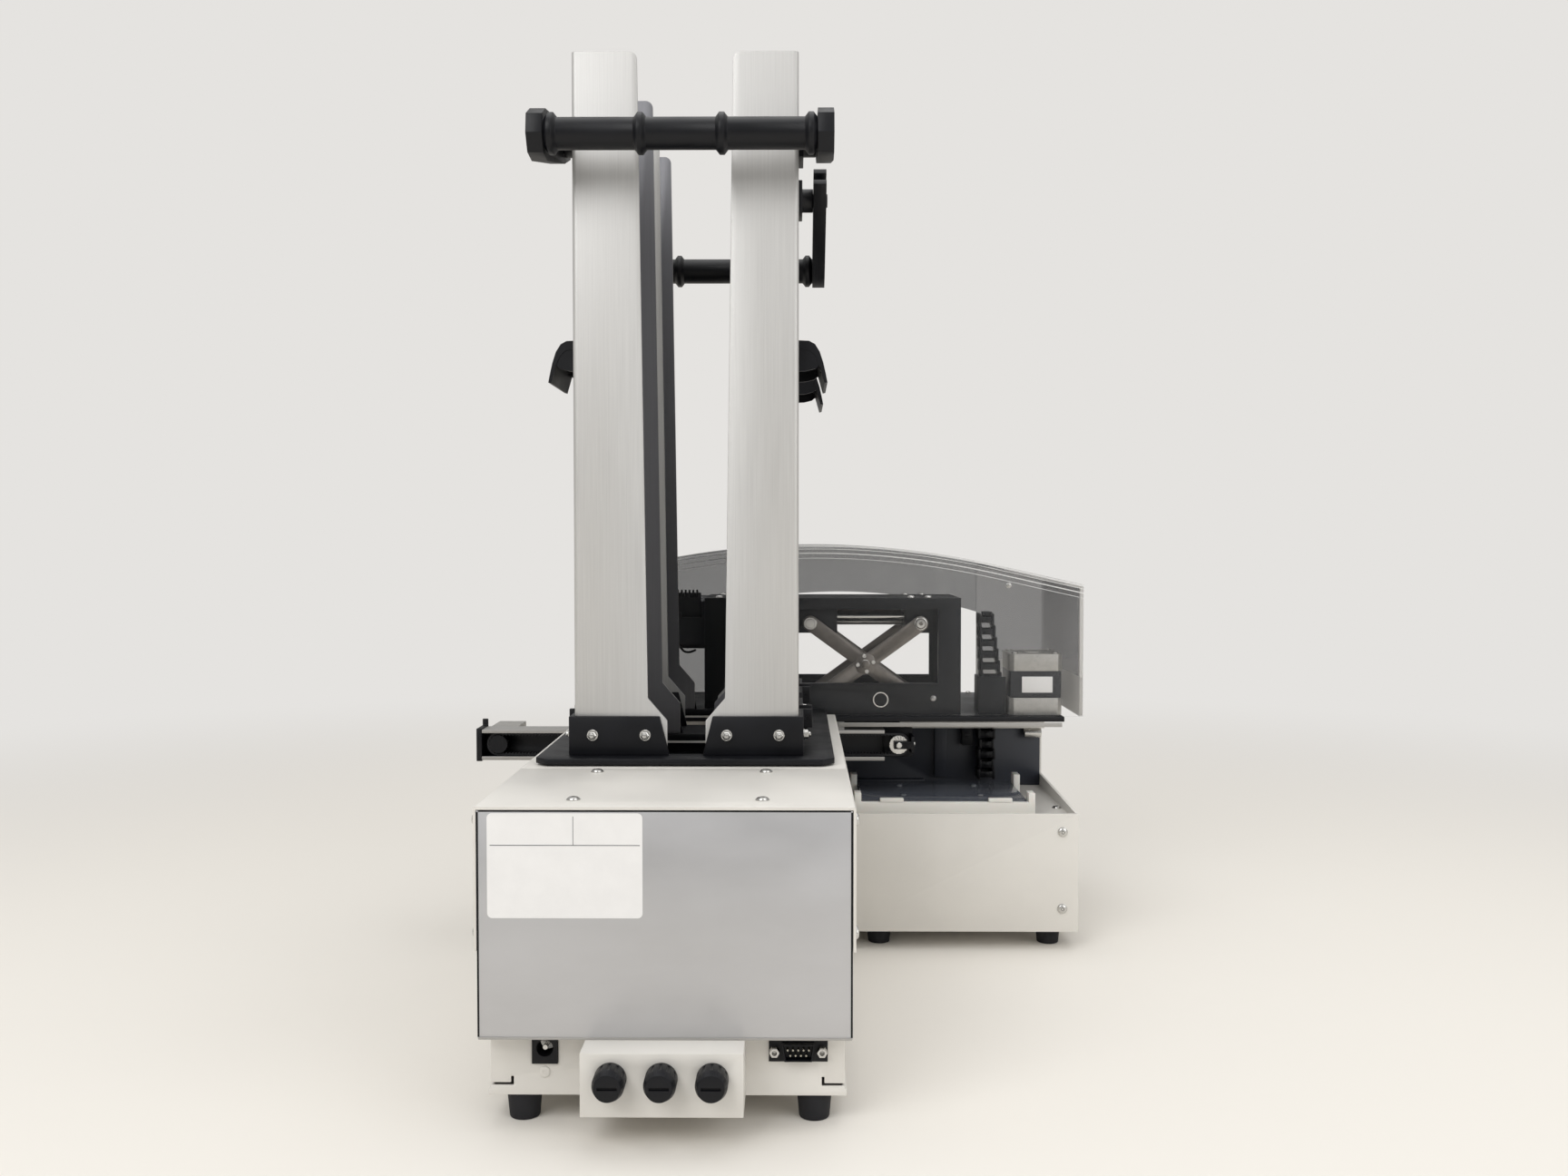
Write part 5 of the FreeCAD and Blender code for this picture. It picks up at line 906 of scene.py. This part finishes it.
class STACKER_OT_scissor_lift(bpy.types.Operator):
    """Dress the scissor lift: frame, rods, arms, hub screws and the threaded lead screw"""
    bl_idname = "stacker.scissor_lift"
    bl_label = "Scissor lift"

    def execute(self, context):
        dress("lift_frame", ["anodised"], 0.5 * MM)
        dress_all(LIFT)
        left, right, level, low = 79.21, 168.2, LEAD_SCREW_LEVEL, 176.34
        hub_x, hub_z, row = 123.7, 208.67, 404.0
        bm = bmesh.new()
        turned(bm, (hub_x, row, hub_z), "-Y", [(9.0, 0.0), (9.0, 0.35), (8.7, 0.5)], 8, kind=1)
        turned(bm, (hub_x, row - 0.5, hub_z), "-Y",
               [(3.6, 0.0), (3.6, 0.8), (3.1, 1.1), (1.7, 1.1), (1.7, 0.4)], 6)
        for turn in (10, 100, 190, 280):
            spot = (hub_x + 6.3 * math.cos(math.radians(turn)), row - 0.5,
                    hub_z + 6.3 * math.sin(math.radians(turn)))
            turned(bm, spot, "-Y", [(1.8, 0.0), (1.8, 0.5), (1.4, 0.8), (0.8, 0.8), (0.8, 0.3)], 16)
        for across, height in ((right, level), (left, low)):
            turned(bm, (across, row - 0.2, height), "-Y",
                   [(5.2, 0.0), (5.2, 0.8), (4.6, 1.1), (3.8, 1.1), (3.4, 1.7), (1.5, 1.75),
                    (1.5, 0.6)], 28)
        fit(bm, "driven_arm_screws", ["zinc", "steel"], "driven_arms")
        bm = bmesh.new()
        for across, height in ((left, level), (right, low)):
            turned(bm, (across, row + 3.3, height), "-Y",
                   [(5.4, 0.0), (5.4, 1.0), (4.8, 1.4), (3.8, 1.4), (3.4, 2.0), (1.5, 2.05),
                    (1.5, 0.6)], 28)
        fit(bm, "crossing_arm_screws", ["zinc"], "crossing_arms")
        bm = bmesh.new()
        collar = [(3.0, 0.0), (3.0, 1.0), (8.0, 1.0), (8.0, 9.0), (7.0, 9.0), (7.0, 10.2),
                  (8.0, 10.2), (8.0, 21.0), (3.0, 21.0)]
        thread_start, pitch, thread_end = 22.0, 0.98, 172.0
        thread = [(radius, thread_start + pitch * step + rise) for step in range(150)
                  for radius, rise in ((3.0, 0.0), (2.4, 0.35), (2.4, 0.6), (3.0, 0.9))]
        thread = [ring for ring in thread if ring[1] < thread_end]
        turned(bm, (-4.5, 435.0, level), "+X", [*collar, *thread, (3.0, 178.2)], 20)
        fit(bm, "lead_screw_dressed", ["zinc"], "lead_screw", ["lead_screw"])
        bm = bmesh.new()
        block(bm, (78.0, 469.2, 247.5), (196.0, 471.0, 254.5), 0.3)
        fit(bm, "lift_rear_rail", ["maroon"])
        bm = bmesh.new()
        ring = (135.5, 395.0, 180.6)
        turned(bm, ring, "-Y", [(6.2, 0.0), (6.2, 0.5), (5.3, 0.5), (5.3, 0.1)], 36)
        turned(bm, ring, "-Y", [(5.3, 0.0), (5.3, 0.2)], 36, kind=1)
        button_screw(bm, (177.5, 395.0, 181.6), "-Y", 3.6 * MM)
        fit(bm, "lift_frame_fittings", ["zinc", "anodised"])
        return {"FINISHED"}


class STACKER_OT_covers(bpy.types.Operator):
    """Give the clear cover, its frosted end and the tinted hood their finishes, and paint highlight
    strips along the clear cover's arch
    """
    bl_idname = "stacker.covers"
    bl_label = "Covers"

    def execute(self, context):
        near, shoulder = at(0, 384.0, 0).y, 250.0 * MM
        bm = merged("clear_dome")
        crest = sorted((tuple(vert.co) for vert in bm.verts
                        if abs(vert.co.y - near) < 1e-5 and vert.co.z > shoulder),
                       key=lambda spot: spot[0])
        # Four pale strips under the arch's crest, each a drop and a width: painted highlights of
        # the rounded shoulder.
        for drop, wide in ((0.2, 1.5), (3.2, 0.5), (6.4, 0.8), (10.5, 0.4)):
            painted_highlight_strip(bm, crest, drop * MM, wide * MM)
        fit(bm, "clear_dome_dressed", ["clear", "rim"], replaced=["clear_dome"])
        dress("smoke_hood", ["smoke"], 0.4 * MM)
        bm = merged("dome_end_cap")
        tinted = at(0, 390.0, 200.0)
        for facing in ((0, 0, 1), (0, 1, 0)):
            bmesh.ops.bisect_plane(bm, geom=[*bm.verts, *bm.edges, *bm.faces], dist=1e-6,
                                   plane_co=tinted, plane_no=facing)
        for face in bm.faces:
            middle = face.calc_center_median()
            face.material_index = 1 if middle.z > tinted.z and middle.y > tinted.y else 0
        fit(bm, "dome_end_cap_dressed", ["frosted", "haze"],
            replaced=["dome_end_cap"])
        return {"FINISHED"}


# What a camera sees behind the part, and each lamp's name, place, aim, watts and breadth.
BACKDROP = (*linear("#E5E3E0"), 1.0)
LAMPS = (
    ("key", (-0.9, -1.5, 1.5), (0.0, 0.0, 0.25), 17.0, 1.2),
    ("fill", (1.3, -1.2, 0.9), (0.0, 0.0, 0.2), 9.0, 1.4),
    ("top", (0.1, 0.1, 1.9), (0.0, 0.0, 0.0), 12.0, 1.6),
)


def pale_floor(colour):
    """Matte floor paint that fades into the backdrop with distance, as a camera sees it."""
    coat = finish("pale_floor", colour, roughness=0.9)
    rays = add(coat.tree, "LightPath")
    reach = add(coat.tree, "VectorMath", {0: coat.place}, operation="LENGTH")
    fade = add(coat.tree, "MapRange", {"Value": (reach, "Value"), "From Min": 0.55,
                                       "From Max": 1.9}, interpolation_type="SMOOTHSTEP")
    seen_far = add(coat.tree, "Math", {0: (fade, "Result"), 1: (rays, "Is Camera Ray")},
                   operation="MULTIPLY")
    haze = add(coat.tree, "Emission", {"Color": BACKDROP, "Strength": 1.0})
    blend = add(coat.tree, "MixShader", {0: (seen_far, "Value"), 1: (coat.shader, "BSDF"),
                                         2: (haze, "Emission")})
    surface = coat.tree.nodes["Material Output"].inputs["Surface"]
    coat.tree.links.new(blend.outputs["Shader"], surface)
    return coat.material


def studio_world():
    """A plain backdrop for the camera, and for all other light a sky that brightens upwards."""
    world = bpy.data.worlds.new("studio")
    world.use_nodes = True
    tree = world.node_tree
    tree.nodes.clear()
    seen = add(tree, "Background", {"Color": BACKDROP, "Strength": 1.0})
    height = add(tree, "SeparateXYZ", {"Vector": (add(tree, "TexCoord"), "Generated")})
    climb = add(tree, "MapRange", {"Value": (height, "Z"), "From Min": -0.1, "From Max": 0.9,
                                   "To Min": 0.34, "To Max": 0.8})
    lit = add(tree, "Background", {"Color": (*linear("#F2F1EF"), 1.0),
                                   "Strength": (climb, "Result")})
    rays = add(tree, "LightPath")
    direct = add(tree, "Math", {0: (rays, "Is Camera Ray"), 1: (rays, "Is Transmission Ray")},
                 operation="MAXIMUM")
    choice = add(tree, "MixShader", {0: (direct, "Value"), 1: (lit, "Background"),
                                     2: (seen, "Background")})
    out = tree.nodes.new("ShaderNodeOutputWorld")
    tree.links.new(choice.outputs["Shader"], out.inputs["Surface"])
    return world


class STACKER_OT_stage(bpy.types.Operator):
    """Set the plain floor, the soft studio lamps and the camera"""
    bl_idname = "stacker.stage"
    bl_label = "Stage"

    def execute(self, context):
        scene = context.scene
        bm = bmesh.new()
        bmesh.ops.create_grid(bm, x_segments=1, y_segments=1, size=6.0)
        floor = bpy.data.meshes.new("floor")
        bm.to_mesh(floor)
        bm.free()
        floor.materials.append(pale_floor(scene.stacker_colours.floor))
        stand("floor", floor)
        scene.world = studio_world()
        for name, spot, aim, power, size in LAMPS:
            lamp = bpy.data.lights.new(name, "AREA")
            lamp.energy = power
            lamp.size = size
            holder = stand(name, lamp)
            holder.location = spot
            holder.rotation_mode = "QUATERNION"
            holder.rotation_quaternion = (Vector(aim) - Vector(spot)).to_track_quat("-Z", "Y")
        # The photograph's view, worked out from the edges of the rear panel and the covers.
        view = bpy.data.cameras.new("photo_view")
        view.lens = 31.5
        view.sensor_width = 36.0
        view.clip_start = 0.01
        eye = stand("photo_view", view)
        eye.location = (0.01275, -0.9635, 0.3069)
        eye.rotation_euler = (math.radians(90.0 - 1.93), 0.0, math.radians(0.49))
        scene.camera = eye
        scene.view_settings.view_transform = "Standard"
        return {"FINISHED"}


STEPS = (
    STACKER_OT_stage, STACKER_OT_housing, STACKER_OT_connectors, STACKER_OT_cover_screws,
    STACKER_OT_rating_label, STACKER_OT_magazines, STACKER_OT_bracket_nuts, STACKER_OT_track,
    STACKER_OT_station, STACKER_OT_feed_motor, STACKER_OT_lift_motor, STACKER_OT_cable_chain,
    STACKER_OT_scissor_lift, STACKER_OT_covers,
)


class STACKER_PT_panel(bpy.types.Panel):
    """The stacker's pieces, each with its own button"""
    bl_idname = "STACKER_PT_panel"
    bl_label = "Plate stacker"
    bl_space_type = "VIEW_3D"
    bl_region_type = "UI"
    bl_category = "Stacker"

    def draw(self, context):
        for step in STEPS:
            self.layout.operator(step.bl_idname)
        for group in (context.scene.stacker_sizes, context.scene.stacker_colours):
            for name in group.__annotations__:
                self.layout.prop(group, name)


CLASSES = (StackerColours, StackerSizes, *STEPS, STACKER_PT_panel)


def register():
    for item in CLASSES:
        bpy.utils.register_class(item)
    bpy.types.Scene.stacker_colours = PointerProperty(type=StackerColours)
    bpy.types.Scene.stacker_sizes = PointerProperty(type=StackerSizes)


def unregister():
    del bpy.types.Scene.stacker_sizes
    del bpy.types.Scene.stacker_colours
    for item in reversed(CLASSES):
        bpy.utils.unregister_class(item)


def main():
    """Make every piece in order."""
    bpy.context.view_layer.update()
    register()
    mix_finishes()
    for step in STEPS:
        group, name = step.bl_idname.split(".")
        getattr(getattr(bpy.ops, group), name)()


if __name__ == "__main__":
    main()
